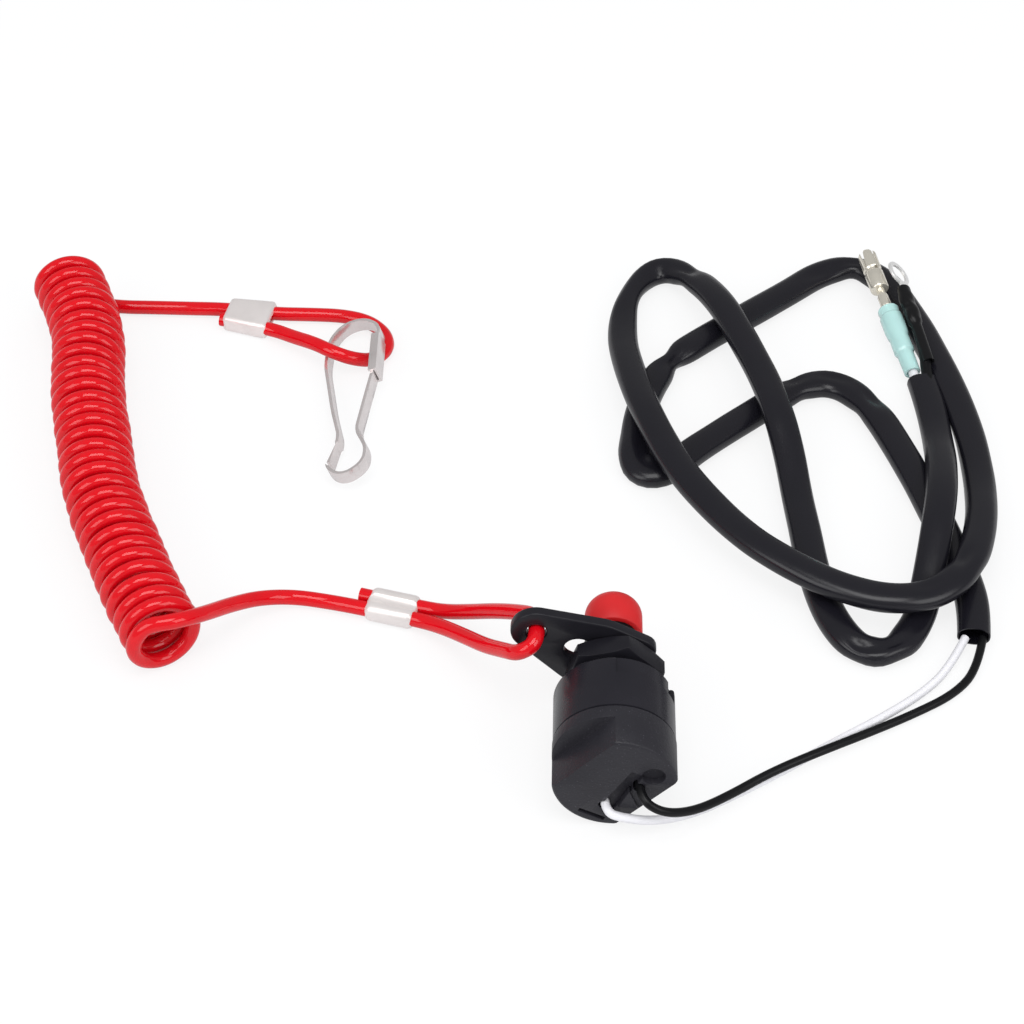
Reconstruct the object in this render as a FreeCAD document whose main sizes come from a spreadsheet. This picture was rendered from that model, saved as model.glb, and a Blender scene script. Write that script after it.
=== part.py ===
import FreeCAD, Part
import math
import os
import Sketcher

# Engine kill switch with a coiled lanyard. Millimetres, +Z up. The switch axis is Y: the red button
# points along +Y and the wires leave at the back. The origin is on that axis, on the shoulder that seats
# on the panel. The switch, the lanyard and the wires all lie on one flat surface.

# Driving sizes: name, value, what it is.
SIZES = [
    ("coverRadius", 14.8, "rear cover, outer radius"),
    ("coverLength", 11.9, "rear cover, along the axis"),
    ("coverWall", 1.6, "rear cover, side wall"),
    ("coverFloor", 2.5, "rear cover, end wall"),
    ("coverEdge", 0.7, "rear cover, chamfer of the end rim"),
    ("flatDistance", 10.0, "wrench flat, from the axis"),
    ("flatDepth", 8.2, "wrench flat, along the axis"),
    ("flatTurn", 42.0, "turn of the wrench flats about the axis, degrees"),
    ("troughWidth", 3.4, "recess that both wires leave from"),
    ("troughLength", 14.6, "recess for the wires, length"),
    ("troughDepth", 1.2, "recess for the wires, depth"),
    ("pocketRadius", 2.8, "round blind pocket in the end wall"),
    ("pocketDepth", 1.7, "round blind pocket, depth"),
    ("slitLength", 7.0, "narrow slit in the end wall"),
    ("slitWidth", 1.2, "narrow slit, width"),
    ("wedgeHeight", 0.8, "raised wedge between the wires"),
    ("spigotLength", 2.0, "rear cover spigot inside the housing"),
    ("spigotWall", 1.0, "rear cover spigot, wall"),
    ("housingRadius", 14.65, "housing, outer radius"),
    ("housingLength", 15.6, "housing behind the shoulder"),
    ("housingWall", 1.7, "housing, side wall"),
    ("housingFront", 2.2, "housing, front wall"),
    ("shoulderRound", 0.9, "housing, rounded shoulder"),
    ("stepDepth", 0.6, "shallow step in the side of the housing"),
    ("stepLength", 5.0, "shallow step, along the axis"),
    ("stepArc", 72.0, "shallow step, degrees round the housing"),
    ("keyWidth", 3.0, "notch at the end of the shallow step"),
    ("keyDepth", 1.3, "notch, depth into the side of the housing"),
    ("neckRadius", 8.0, "threaded neck, outer radius"),
    ("neckLength", 10.4, "threaded neck, in front of the shoulder"),
    ("gasketRadius", 12.6, "panel gasket, outer radius"),
    ("gasketThickness", 1.2, "panel gasket"),
    ("panelGrip", 3.1, "room for the panel between the gasket and the nut"),
    ("nutFlats", 22.0, "hex nut, across the flats"),
    ("nutThickness", 5.2, "hex nut"),
    ("nutTurn", 15.2, "turn of the nut about the axis, degrees"),
    ("nutChamfer", 0.9, "hex nut, cut of each corner along the axis"),
    ("stemRadius", 3.3, "plunger stem, outer radius"),
    ("collarRadius", 7.7, "collar in front of the clip"),
    ("collarThickness", 3.0, "collar"),
    ("bossRadius", 5.7, "tubular boss that guides the button"),
    ("bossLength", 5.0, "tubular boss, in front of the collar"),
    ("sealRadius", 4.6, "stem seal, outer radius"),
    ("sealLength", 1.5, "stem seal"),
    ("ringRadius", 5.4, "retaining ring on the stem"),
    ("ringThickness", 0.8, "retaining ring"),
    ("ringGroove", 0.5, "depth of its groove in the stem"),
    ("returnWire", 0.8, "plunger spring, wire diameter"),
    ("returnRoom", 7.4, "plunger spring, seated length"),
    ("buttonTravel", 3.0, "button, full travel"),
    ("capGap", 0.2, "gap left under the button when it is fully in"),
    ("capRadius", 7.2, "button cap, outer radius"),
    ("capLength", 12.0, "button cap, along the axis"),
    ("capWall", 1.3, "button cap, skirt wall"),
    ("capTop", 6.0, "button cap, solid crown"),
    ("capDome", 5.4, "button cap, rounding of the crown"),
    ("rodRadius", 1.6, "push rod"),
    ("rodSocket", 2.4, "push rod, length inside the button cap"),
    ("buttonWire", 0.7, "button spring, wire diameter"),
    ("carrierRadius", 5.0, "contact carrier"),
    ("carrierThickness", 2.0, "contact carrier"),
    ("bridgeLength", 13.0, "moving contact bridge"),
    ("bridgeWidth", 4.0, "moving contact bridge, width"),
    ("metalSheet", 0.6, "contact metal"),
    ("contactGap", 0.2, "gap left between the contacts at full travel"),
    ("clipThickness", 2.8, "lock clip plate"),
    ("clipTurn", 150.0, "direction of the lock clip seen from the back, degrees from +X"),
    ("clipHalf", 11.0, "lock clip, half width over the fork"),
    ("clipShoulder", 6.0, "lock clip, where the taper starts, from the switch axis"),
    ("clipReach", 21.9, "lock clip, cord hole from the switch axis"),
    ("clipNose", 6.3, "lock clip, radius round the cord hole"),
    ("clipHole", 2.9, "lock clip, cord hole radius"),
    ("slotHalf", 3.5, "fork slot, half width"),
    ("slotReach", 10.2, "fork slot, centre of its closed end from the switch axis"),
    ("prongReach", 3.3, "fork, centre of the rounded tips beyond the switch axis"),
    ("runFit", 0.06, "radial clearance of a sliding fit"),
    ("seatFit", 0.03, "clearance of a seated piece"),
    ("clipPlay", 0.1, "clearance each side of the lock clip"),
    ("cordRadius", 2.0, "lanyard cord"),
    ("coilRadius", 10.2, "coiled stretch, outer radius"),
    ("ferruleLength", 13.4, "crimp ferrule"),
    ("ferruleThickness", 5.2, "crimp ferrule, pressed thickness"),
    ("ferruleRound", 1.9, "crimp ferrule, rounding along its edges"),
    ("clipFerruleWidth", 9.3, "ferrule of the clip's loop, width"),
    ("hookFerruleNarrow", 9.9, "ferrule of the hook's loop, width at the single cord"),
    ("hookFerruleWide", 12.4, "ferrule of the hook's loop, width at the loop"),
    ("hookStrip", 0.9, "snap hook strip, thickness"),
    ("hookWidth", 3.8, "snap hook strip, width"),
    ("hookTilt", 20.0, "lean of the snap hook, its right leg lies on the cord, degrees"),
    ("channelWall", 0.7, "folded channel that grips the hook, wall"),
    ("wireRadius", 1.1, "switch wire"),
    ("sleeveRadius", 3.3, "sleeve over both wires"),
    ("socketRadius", 2.7, "bullet socket, outer radius"),
    ("socketBore", 2.05, "bullet socket, bore radius"),
    ("socketLength", 13.5, "bullet socket, barrel"),
    ("neckCrimp", 1.7, "terminal crimp, radius"),
    ("crimpLength", 8.5, "terminal crimp outside its cover"),
    ("coverTubeRadius", 3.2, "bullet terminal cover, outer radius at its mouth"),
    ("coverTubeEnd", 2.3, "bullet terminal cover, radius at the wire"),
    ("coverTubeLength", 24.0, "bullet terminal cover"),
    ("eyeRadius", 4.1, "ring terminal, outer radius"),
    ("eyeBore", 2.65, "ring terminal, bore radius"),
    ("eyeSheet", 0.8, "ring terminal, sheet thickness"),
    ("eyeTurn", 52.0, "lean of the ring terminal, degrees"),
    ("bootRadius", 2.1, "ring terminal boot, outer radius"),
    ("bootTail", 1.6, "ring terminal boot, radius of its narrow tail"),
    ("bootLength", 28.0, "ring terminal boot"),
]

doc = FreeCAD.newDocument("kill_switch")
sheet = doc.addObject("Spreadsheet::Sheet", "dims")
for row, (name, value, meaning) in enumerate(SIZES, start=1):
    sheet.set(f"A{row}", str(value))
    sheet.setAlias(f"A{row}", name)
    sheet.set(f"B{row}", meaning)
doc.recompute()


def size(name):
    return float(sheet.get(name))


# Places along the switch axis, written once for the expressions and once as numbers.
NUT_BACK = "dims.gasketThickness + dims.panelGrip"
CLIP_BACK = "dims.neckLength + dims.clipPlay"
COLLAR_BACK = f"{CLIP_BACK} + dims.clipThickness + dims.clipPlay"
COLLAR_FRONT = f"{COLLAR_BACK} + dims.collarThickness"
CAP_BACK = f"{COLLAR_FRONT} + dims.buttonTravel + dims.capGap"
CAP_CEILING = f"{CAP_BACK} + dims.capLength - dims.capTop"
RING_FRONT = "-dims.housingFront - dims.returnRoom"
STEM_BACK = f"{RING_FRONT} - dims.ringThickness - 1"
CARRIER_FRONT = f"{STEM_BACK} - dims.clipPlay"
BRIDGE_FRONT = f"{CARRIER_FRONT} - dims.carrierThickness - dims.seatFit"
BRIDGE_BACK = f"{BRIDGE_FRONT} - dims.metalSheet"
ROD_BACK = f"{BRIDGE_BACK} - dims.metalSheet - dims.seatFit"
PAD_FRONT = f"{BRIDGE_BACK} - dims.buttonTravel - dims.contactGap"
COVER_BACK = "-dims.housingLength - dims.coverLength"
FLOOR_FRONT = f"{COVER_BACK} + dims.coverFloor"
CAVITY_RADIUS = "(dims.housingRadius - dims.housingWall)"

clipBack = size("neckLength") + size("clipPlay")
collarFront = clipBack + size("clipThickness") + size("clipPlay") + size("collarThickness")
stemBack = -size("housingFront") - size("returnRoom") - size("ringThickness") - 1
coverBack = -size("housingLength") - size("coverLength")
table = -size("coverRadius")

# Local +Z of a turned piece becomes +Y, and its local +Y becomes -Z.
ALONG_AXIS = FreeCAD.Rotation(FreeCAD.Vector(1, 0, 0), -90)


def bind(item, target, expression):
    item.setExpression(target, str(expression))


def newBody(label):
    body = doc.addObject("PartDesign::Body", label)
    body.Label = label
    body.Placement = FreeCAD.Placement(FreeCAD.Vector(0, 0, 0), ALONG_AXIS)
    return body


def newSketch(body, level, turn=None):
    """An empty sketch across the axis at a level along it, turned about the axis."""
    sketch = body.newObject("Sketcher::SketchObject", "Section")
    plane = [item for item in body.Origin.OriginFeatures if item.Role == "XY_Plane"][0]
    sketch.AttachmentSupport = (plane, [""])
    sketch.MapMode = "FlatFace"
    bind(sketch, "AttachmentOffset.Base.z", level)
    if turn is not None:
        bind(sketch, "AttachmentOffset.Rotation.Angle", turn)
    return sketch


def pinPoint(sketch, item, point, x, y):
    """Fix one point of a sketch by two distances from its origin."""
    for kind, expression in (("DistanceX", x), ("DistanceY", y)):
        index = sketch.addConstraint(Sketcher.Constraint(kind, item, point, 1.0))
        bind(sketch, f"Constraints[{index}]", expression)


def drawCircle(sketch, radius, x="0", y="0"):
    item = sketch.addGeometry(Part.Circle(FreeCAD.Vector(0, 0, 0), FreeCAD.Vector(0, 0, 1), 2.0), False)
    index = sketch.addConstraint(Sketcher.Constraint("Radius", item, 2.0))
    bind(sketch, f"Constraints[{index}]", radius)
    pinPoint(sketch, item, 3, x, y)


def drawPolygon(sketch, corners):
    count = len(corners)
    start = []
    for number in range(count):
        angle = 2 * math.pi * number / count
        start.append(FreeCAD.Vector(5 * math.cos(angle), 5 * math.sin(angle), 0))
    for number in range(count):
        sketch.addGeometry(Part.LineSegment(start[number], start[(number + 1) % count]), False)
    for number in range(count):
        sketch.addConstraint(Sketcher.Constraint("Coincident", number, 2, (number + 1) % count, 1))
    for number, (x, y) in enumerate(corners):
        pinPoint(sketch, number, 1, x, y)


def drawBox(sketch, left, right, low, high):
    drawPolygon(sketch, [(left, low), (right, low), (right, high), (left, high)])


def addPad(body, sketch, length):
    feature = body.newObject("PartDesign::Pad", "Pad")
    feature.Profile = sketch
    bind(feature, "Length", length)
    doc.recompute()
    return feature


def addPocket(body, sketch, length, forward=True):
    """Cut from the sketch along +Z of the body, or back along -Z."""
    before = body.Shape.Volume
    feature = body.newObject("PartDesign::Pocket", "Pocket")
    feature.Profile = sketch
    feature.Reversed = forward
    bind(feature, "Length", length)
    doc.recompute()
    if not body.Shape.Volume < before:
        raise ValueError(f"a pocket of {body.Label} cuts nothing")
    return feature


def padCircle(body, radius, level, length, x="0", y="0", turn=None):
    sketch = newSketch(body, level, turn)
    drawCircle(sketch, radius, x, y)
    return addPad(body, sketch, length)


def pocketCircle(body, radius, level, length, x="0", y="0", turn=None):
    sketch = newSketch(body, level, turn)
    drawCircle(sketch, radius, x, y)
    return addPocket(body, sketch, length)


def circleEdges(feature, radius, level):
    """Names of the round edges with this radius at this level along the axis."""
    names = []
    for number, edge in enumerate(feature.Shape.Edges, start=1):
        curve = edge.Curve
        if isinstance(curve, Part.Circle) and abs(curve.Radius - radius) < 1e-4:
            if abs(curve.Center.z - level) < 1e-4:
                names.append(f"Edge{number}")
    return names


def addDressUp(body, kind, value, radius, level):
    """A fillet or chamfer on the round edges found by radius and level."""
    base = body.Tip
    feature = body.newObject(f"PartDesign::{kind}", kind)
    feature.Base = (base, circleEdges(base, radius, level))
    bind(feature, "Radius" if kind == "Fillet" else "Size", value)
    doc.recompute()
    return feature


# Housing

housing = newBody("housing")
padCircle(housing, "dims.housingRadius", "-dims.housingLength", "dims.housingLength")
addDressUp(housing, "Fillet", "dims.shoulderRound", size("housingRadius"), 0)
padCircle(housing, "dims.neckRadius", "-dims.shoulderRound", "dims.neckLength + dims.shoulderRound")
addDressUp(housing, "Chamfer", "dims.nutChamfer / 2", size("neckRadius"), size("neckLength"))
pocketCircle(housing, CAVITY_RADIUS, "-dims.housingLength", "dims.housingLength - dims.housingFront")
pocketCircle(housing, "dims.stemRadius + dims.runFit", "-dims.housingFront",
             "dims.neckLength + dims.housingFront")
pocketCircle(housing, "dims.sealRadius", "dims.neckLength - dims.sealLength", "dims.sealLength")

# The shallow step runs round the upper right of the side and ends in a small notch.
stepSketch = newSketch(housing, "-dims.stepLength", "-90")
drawPolygon(stepSketch, [
    ("dims.housingRadius - dims.stepDepth", "0"),
    ("dims.housingRadius + 2", "0"),
    ("dims.housingRadius + 2", "dims.housingRadius * tan(dims.stepArc / 2)"),
    ("(dims.housingRadius + 2) * cos(dims.stepArc)", "(dims.housingRadius + 2) * sin(dims.stepArc)"),
    ("(dims.housingRadius - dims.stepDepth) * cos(dims.stepArc)",
     "(dims.housingRadius - dims.stepDepth) * sin(dims.stepArc)"),
    ("(dims.housingRadius - dims.stepDepth) * cos(dims.stepArc * 0.75)",
     "(dims.housingRadius - dims.stepDepth) * sin(dims.stepArc * 0.75)"),
    ("(dims.housingRadius - dims.stepDepth) * cos(dims.stepArc / 2)",
     "(dims.housingRadius - dims.stepDepth) * sin(dims.stepArc / 2)"),
    ("(dims.housingRadius - dims.stepDepth) * cos(dims.stepArc / 4)",
     "(dims.housingRadius - dims.stepDepth) * sin(dims.stepArc / 4)"),
])
addPocket(housing, stepSketch, "dims.stepLength + 1")
keySketch = newSketch(housing, "-dims.stepLength", "dims.stepArc - 90")
drawBox(keySketch, "dims.housingRadius - dims.keyDepth", "dims.housingRadius + 2", "-dims.keyWidth / 2",
        "dims.keyWidth / 2")
addPocket(housing, keySketch, "dims.stepLength + 1")

# Rear cover: a deep cap with two wrench flats, closed by an end wall with the wire exits.

WHITE_N, WHITE_T = 3.2, 7.0
BLACK_N, BLACK_T = 4.8, -3.2
POCKET_N, POCKET_T = 4.6, -8.4
SLIT_N, SLIT_T = 2.9, 11.4

cover = newBody("rear_cover")
padCircle(cover, "dims.coverRadius", COVER_BACK, "dims.coverLength")
addDressUp(cover, "Chamfer", "dims.coverEdge", size("coverRadius"), coverBack)
for side in (1, -1):
    flat = newSketch(cover, COVER_BACK, "dims.flatTurn")
    drawBox(flat, f"{side} * dims.flatDistance", f"{side} * (dims.coverRadius + 2)", "-dims.coverRadius",
            "dims.coverRadius")
    addPocket(cover, flat, "dims.flatDepth")
pocketCircle(cover, f"{CAVITY_RADIUS} - dims.runFit - dims.spigotWall",
             f"{COVER_BACK} + dims.flatDepth + dims.coverWall", "dims.coverLength")
deepRoom = newSketch(cover, FLOOR_FRONT, "dims.flatTurn")
drawBox(deepRoom, "dims.coverWall - dims.flatDistance", "dims.flatDistance - dims.coverWall",
        "-0.66 * dims.coverRadius", "0.66 * dims.coverRadius")
addPocket(cover, deepRoom, "dims.coverLength")
spigot = newSketch(cover, "-dims.housingLength - 0.5")
drawCircle(spigot, f"{CAVITY_RADIUS} - dims.runFit")
drawCircle(spigot, f"{CAVITY_RADIUS} - dims.runFit - dims.spigotWall")
addPad(cover, spigot, "dims.spigotLength + 0.5")
wedge = newSketch(cover, f"{COVER_BACK} - dims.wedgeHeight", "dims.flatTurn")
drawPolygon(wedge, [("3.6", "-1.2"), ("dims.flatDistance - 0.6", "1.9"), ("5.6", "4.6")])
addPad(cover, wedge, "dims.wedgeHeight + 1")
trough = newSketch(cover, COVER_BACK, "dims.flatTurn - 12")
drawBox(trough, "4.4 - dims.troughWidth", "4.4", "1.2 - dims.troughLength / 2", "1.2 + dims.troughLength / 2")
addPocket(cover, trough, "dims.troughDepth")
slit = newSketch(cover, COVER_BACK, "dims.flatTurn - 14")
drawBox(slit, f"{SLIT_N} - dims.slitLength / 2 - 2.4", f"{SLIT_N} + dims.slitLength / 2 - 2.4",
        f"{SLIT_T} - dims.slitWidth / 2 + 0.6", f"{SLIT_T} + dims.slitWidth / 2 + 0.6")
addPocket(cover, slit, "dims.troughDepth")
pocketCircle(cover, "dims.pocketRadius", COVER_BACK, "dims.pocketDepth", POCKET_N, POCKET_T, "dims.flatTurn")
for exitN, exitT in ((WHITE_N, WHITE_T), (BLACK_N, BLACK_T)):
    pocketCircle(cover, "dims.wireRadius + dims.seatFit", COVER_BACK, "dims.coverFloor + 1", exitN, exitT,
                 "dims.flatTurn")

# Nut and gasket on the neck

nut = newBody("hex_nut")
hexagon = newSketch(nut, NUT_BACK, "-dims.nutTurn")
drawPolygon(hexagon, [(f"dims.nutFlats / cos(30) / 2 * cos({60 * corner})",
                       f"dims.nutFlats / cos(30) / 2 * sin({60 * corner})") for corner in range(6)])
addPad(nut, hexagon, "dims.nutThickness")
for level, rise in ((NUT_BACK, 1), (f"{NUT_BACK} + dims.nutThickness", -1)):
    # A turned chamfer takes the corners down to the across-flats circle on each face.
    groove = nut.newObject("Sketcher::SketchObject", "Chamfer")
    plane = [item for item in nut.Origin.OriginFeatures if item.Role == "XZ_Plane"][0]
    groove.AttachmentSupport = (plane, [""])
    groove.MapMode = "FlatFace"
    drawPolygon(groove, [("dims.nutFlats / 2 - 0.2", level), ("dims.nutFlats", level),
                         ("dims.nutFlats", f"{level} + {rise} * dims.nutChamfer * 5.4"),
                         ("dims.nutFlats / cos(30) / 2 + 0.2", f"{level} + {rise} * dims.nutChamfer")])
    cut = nut.newObject("PartDesign::Groove", "Groove")
    cut.Profile = groove
    cut.ReferenceAxis = (groove, ["V_Axis"])
    cut.Angle = 360
    doc.recompute()
pocketCircle(nut, "dims.neckRadius + dims.runFit", NUT_BACK, "dims.nutThickness")

gasket = newBody("panel_gasket")
gasketRing = newSketch(gasket, "0")
drawCircle(gasketRing, "dims.gasketRadius")
drawCircle(gasketRing, "dims.neckRadius + dims.seatFit")
addPad(gasket, gasketRing, "dims.gasketThickness")

# Plunger: the stem with its collar, the seal, the spring and the retaining ring

stem = newBody("plunger_stem")
padCircle(stem, "dims.stemRadius", STEM_BACK, f"{COLLAR_BACK} - ({STEM_BACK})")
padCircle(stem, "dims.collarRadius", COLLAR_BACK, "dims.collarThickness")
addDressUp(stem, "Fillet", "dims.collarThickness / 4", size("collarRadius"), collarFront)
padCircle(stem, "dims.bossRadius", COLLAR_FRONT, "dims.bossLength")
pocketCircle(stem, "dims.rodRadius + dims.runFit", STEM_BACK, f"{COLLAR_FRONT} - ({STEM_BACK}) + 1")
pocketCircle(stem, "dims.bossRadius - 1.3", f"{COLLAR_BACK} + 1", "dims.collarThickness + dims.bossLength")
ringSeat = newSketch(stem, f"{RING_FRONT} - dims.ringThickness - dims.seatFit")
drawCircle(ringSeat, "dims.stemRadius + 1")
drawCircle(ringSeat, "dims.stemRadius - dims.ringGroove")
addPocket(stem, ringSeat, "dims.ringThickness + 2 * dims.seatFit")

seal = newBody("stem_seal")
sealRing = newSketch(seal, "dims.neckLength - dims.sealLength + dims.seatFit")
drawCircle(sealRing, "dims.sealRadius - dims.seatFit")
drawCircle(sealRing, "dims.stemRadius + dims.seatFit")
addPad(seal, sealRing, "dims.sealLength - 2 * dims.seatFit")

retainer = newBody("retaining_ring")
retainerRing = newSketch(retainer, f"{RING_FRONT} - dims.ringThickness")
drawCircle(retainerRing, "dims.ringRadius")
drawCircle(retainerRing, "dims.stemRadius - dims.ringGroove + dims.seatFit")
addPad(retainer, retainerRing, "dims.ringThickness")

# Button: the cap on its push rod, which carries the contact bridge

cap = newBody("button_cap")
padCircle(cap, "dims.capRadius", CAP_BACK, "dims.capLength")
capFront = collarFront + size("buttonTravel") + size("capGap") + size("capLength")
addDressUp(cap, "Fillet", "dims.capDome", size("capRadius"), capFront)
pocketCircle(cap, "dims.capRadius - dims.capWall", CAP_BACK, "dims.capLength - dims.capTop")
pocketCircle(cap, "dims.rodRadius + dims.seatFit", CAP_CEILING, "dims.rodSocket + dims.seatFit")

rod = newBody("push_rod")
padCircle(rod, "dims.rodRadius", ROD_BACK, f"{CAP_CEILING} + dims.rodSocket - ({ROD_BACK})")
padCircle(rod, "dims.rodRadius + 0.8", ROD_BACK, "dims.metalSheet")

carrier = newBody("contact_carrier")
carrierDisc = newSketch(carrier, f"{CARRIER_FRONT} - dims.carrierThickness")
drawCircle(carrierDisc, "dims.carrierRadius")
drawCircle(carrierDisc, "dims.rodRadius + dims.seatFit")
addPad(carrier, carrierDisc, "dims.carrierThickness")

bridge = newBody("contact_bridge")
bridgeStrip = newSketch(bridge, BRIDGE_BACK, "dims.flatTurn")
drawBox(bridgeStrip, "-dims.bridgeWidth / 2", "dims.bridgeWidth / 2", "-dims.bridgeLength / 2",
        "dims.bridgeLength / 2")
drawCircle(bridgeStrip, "dims.rodRadius + dims.seatFit")
addPad(bridge, bridgeStrip, "dims.metalSheet")


def fixedContact(label, exitN, exitT, side):
    """An L-shaped contact: a pad under the bridge and a leg beside its wire."""
    body = newBody(label)
    legN = f"{exitN} - dims.wireRadius - 0.2"
    pad = newSketch(body, f"{PAD_FRONT} - dims.metalSheet", "dims.flatTurn")
    near = f"{side} * (dims.rodRadius + 1.6)"
    far = f"{side} * dims.bridgeLength / 2"
    drawBox(pad, "-dims.bridgeWidth / 2", legN, near, far)
    addPad(body, pad, "dims.metalSheet")
    leg = newSketch(body, f"{FLOOR_FRONT} + dims.seatFit", "dims.flatTurn")
    drawBox(leg, f"{legN} - dims.metalSheet", legN, near, far)
    addPad(body, leg, f"{PAD_FRONT} - ({FLOOR_FRONT}) - dims.seatFit")
    return body


contacts = [fixedContact("white_contact", WHITE_N, WHITE_T, 1),
            fixedContact("black_contact", BLACK_N, BLACK_T, -1)]

# Lock clip: a tapered plate whose fork straddles the stem

CLIP_SLOPE = "asin((dims.clipHalf - dims.clipNose) / (dims.clipReach - dims.clipShoulder))"


def clipOutline(body, level, length):
    """Pads of the clip's outer shape: round nose, taper, straight sides and rounded prongs."""
    half = "dims.clipHalf"
    nose = "dims.clipNose"
    prong = "(dims.clipHalf - dims.slotHalf) / 2"
    middle = "(dims.clipHalf + dims.slotHalf) / 2"
    turn = "-dims.clipTurn"
    padCircle(body, half, level, length, "dims.clipShoulder", "0", turn)
    padCircle(body, nose, level, length, "dims.clipReach", "0", turn)
    taper = newSketch(body, level, turn)
    drawPolygon(taper, [
        (f"dims.clipShoulder + {half} * sin({CLIP_SLOPE})", f"-{half} * cos({CLIP_SLOPE})"),
        (f"dims.clipReach + {nose} * sin({CLIP_SLOPE})", f"-{nose} * cos({CLIP_SLOPE})"),
        (f"dims.clipReach + {nose} * sin({CLIP_SLOPE})", f"{nose} * cos({CLIP_SLOPE})"),
        (f"dims.clipShoulder + {half} * sin({CLIP_SLOPE})", f"{half} * cos({CLIP_SLOPE})"),
    ])
    addPad(body, taper, length)
    straight = newSketch(body, level, turn)
    drawBox(straight, "-dims.prongReach", "dims.clipShoulder", f"-{half}", half)
    addPad(body, straight, length)
    for side in (1, -1):
        padCircle(body, prong, level, length, "-dims.prongReach", f"{side} * {middle}", turn)


clip = newBody("lock_clip")
clipOutline(clip, CLIP_BACK, "dims.clipThickness")
slotEnd = newSketch(clip, CLIP_BACK, "-dims.clipTurn")
drawCircle(slotEnd, "dims.slotHalf", "dims.slotReach", "0")
addPocket(clip, slotEnd, "dims.clipThickness")
slot = newSketch(clip, CLIP_BACK, "-dims.clipTurn")
drawBox(slot, "-dims.clipHalf - dims.prongReach", "dims.slotReach", "-dims.slotHalf", "dims.slotHalf")
addPocket(clip, slot, "dims.clipThickness")
hole = newSketch(clip, CLIP_BACK, "-dims.clipTurn")
drawCircle(hole, "dims.clipHole", "dims.clipReach", "0")
addPocket(clip, hole, "dims.clipThickness")


# Springs, cords and bent strips are swept solids that read their sizes from the sheet.

def addShape(label, shape):
    item = doc.addObject("Part::Feature", label)
    item.Label = label
    item.Shape = shape
    return item


def spring(radius, wire, length, turns, start):
    """A round wire wound about the switch axis, from its start towards +Y, in eight short arcs a turn."""
    steps = 8 * turns
    points = []
    for number in range(steps + 1):
        angle = math.pi / 4 * number
        reach = radius / math.cos(math.pi / 8)
        level = start + wire / 2 + (length - wire) * number / steps
        points.append((reach * math.cos(angle), level, reach * math.sin(angle)))
    path, arcs = roundedPath(points)
    along = FreeCAD.Vector(*points[1]) - FreeCAD.Vector(*points[0])
    section = Part.Circle(FreeCAD.Vector(*points[0]), along, wire / 2)
    return path.makePipeShell([Part.Wire([section.toShape()])], True, False)


def roundedPath(points, radii=None):
    """Straight runs joined by tangent arcs, as large as 0.45 of the shorter run allows."""
    corners = [FreeCAD.Vector(*point) for point in points]
    edges = []
    arcs = []
    start = corners[0]
    for number in range(1, len(corners) - 1):
        before, corner, after = corners[number - 1:number + 2]
        inward = (before - corner).normalize()
        outward = (after - corner).normalize()
        turn = math.pi - inward.getAngle(outward)
        reach = 0.45 * min((before - corner).Length, (after - corner).Length)
        if radii is not None:
            reach = min(reach, radii * math.tan(turn / 2))
        arcs.append(reach / math.tan(turn / 2))
        first = corner + inward * reach
        last = corner + outward * reach
        middle = (inward + outward).normalize()
        depth = arcs[-1] / math.cos(turn / 2) - arcs[-1]
        edges.append(Part.LineSegment(start, first).toShape())
        edges.append(Part.Arc(first, corner + middle * depth, last).toShape())
        start = last
    edges.append(Part.LineSegment(start, corners[-1]).toShape())
    return Part.Wire(edges), arcs


def cord(label, points, radius):
    """A free cord as a tube. The printed volume ratio is 1 when the tube is sound."""
    path, arcs = roundedPath(points)
    along = FreeCAD.Vector(*points[1]) - FreeCAD.Vector(*points[0])
    section = Part.Circle(FreeCAD.Vector(*points[0]), along, radius)
    tube = path.makePipeShell([Part.Wire([section.toShape()])], True, False)
    ratio = tube.Volume / (math.pi * radius ** 2 * path.Length)
    print(f"{label}: length {path.Length:.0f} mm, volume ratio {ratio:.4f}, "
          f"tightest arc {min(arcs):.1f} mm ({min(arcs) / (2 * radius):.1f} diameters)")
    return addShape(label, tube)


def strip(points, thickness, width, bend):
    """A flat strip on edge: its path lies in the XY plane and its width is along Z."""
    path, arcs = roundedPath([(x, y, 0) for x, y in points], bend)
    start = FreeCAD.Vector(*points[0], 0)
    along = (FreeCAD.Vector(*points[1], 0) - start).normalize()
    across = FreeCAD.Vector(-along.y, along.x, 0) * (thickness / 2)
    rise = FreeCAD.Vector(0, 0, width / 2)
    corners = [start - across - rise, start + across - rise, start + across + rise, start - across + rise]
    section = Part.makePolygon(corners + corners[:1])
    return path.makePipeShell([section], True, False)


boreFront = CLIP_BACK
pocketFloor = clipBack + size("clipThickness") + size("clipPlay") + 1
capCeiling = collarFront + size("buttonTravel") + size("capGap") + size("capLength") - size("capTop")
addShape("plunger_spring", spring(size("stemRadius") + size("returnWire"), size("returnWire"),
                                  size("returnRoom") - 0.1, 4, -size("housingFront") - size("returnRoom") + 0.05))
addShape("button_spring", spring(size("rodRadius") + size("buttonWire") + 0.3, size("buttonWire"),
                                 capCeiling - pocketFloor - 0.1, 5, pocketFloor + 0.05))

# Lanyard: the coil is one fat tube, and each end runs through its ferrule, round a loop and back.

coilCentre = table + size("coilRadius")
cordLow = table + size("cordRadius")
cordHeld = table + size("ferruleThickness") / 2
coilPath = [(-156.0, 160.5), (-151.0, 146.5), (-147.6, 133.0), (-145.3, 119.5), (-142.7, 106.0),
            (-139.4, 91.5), (-135.6, 77.5), (-131.0, 63.5), (-125.4, 49.5), (-118.8, 35.5), (-110.9, 20.0)]
cord("lanyard_coil", [(x, y, coilCentre) for x, y in coilPath], size("coilRadius"))

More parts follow.
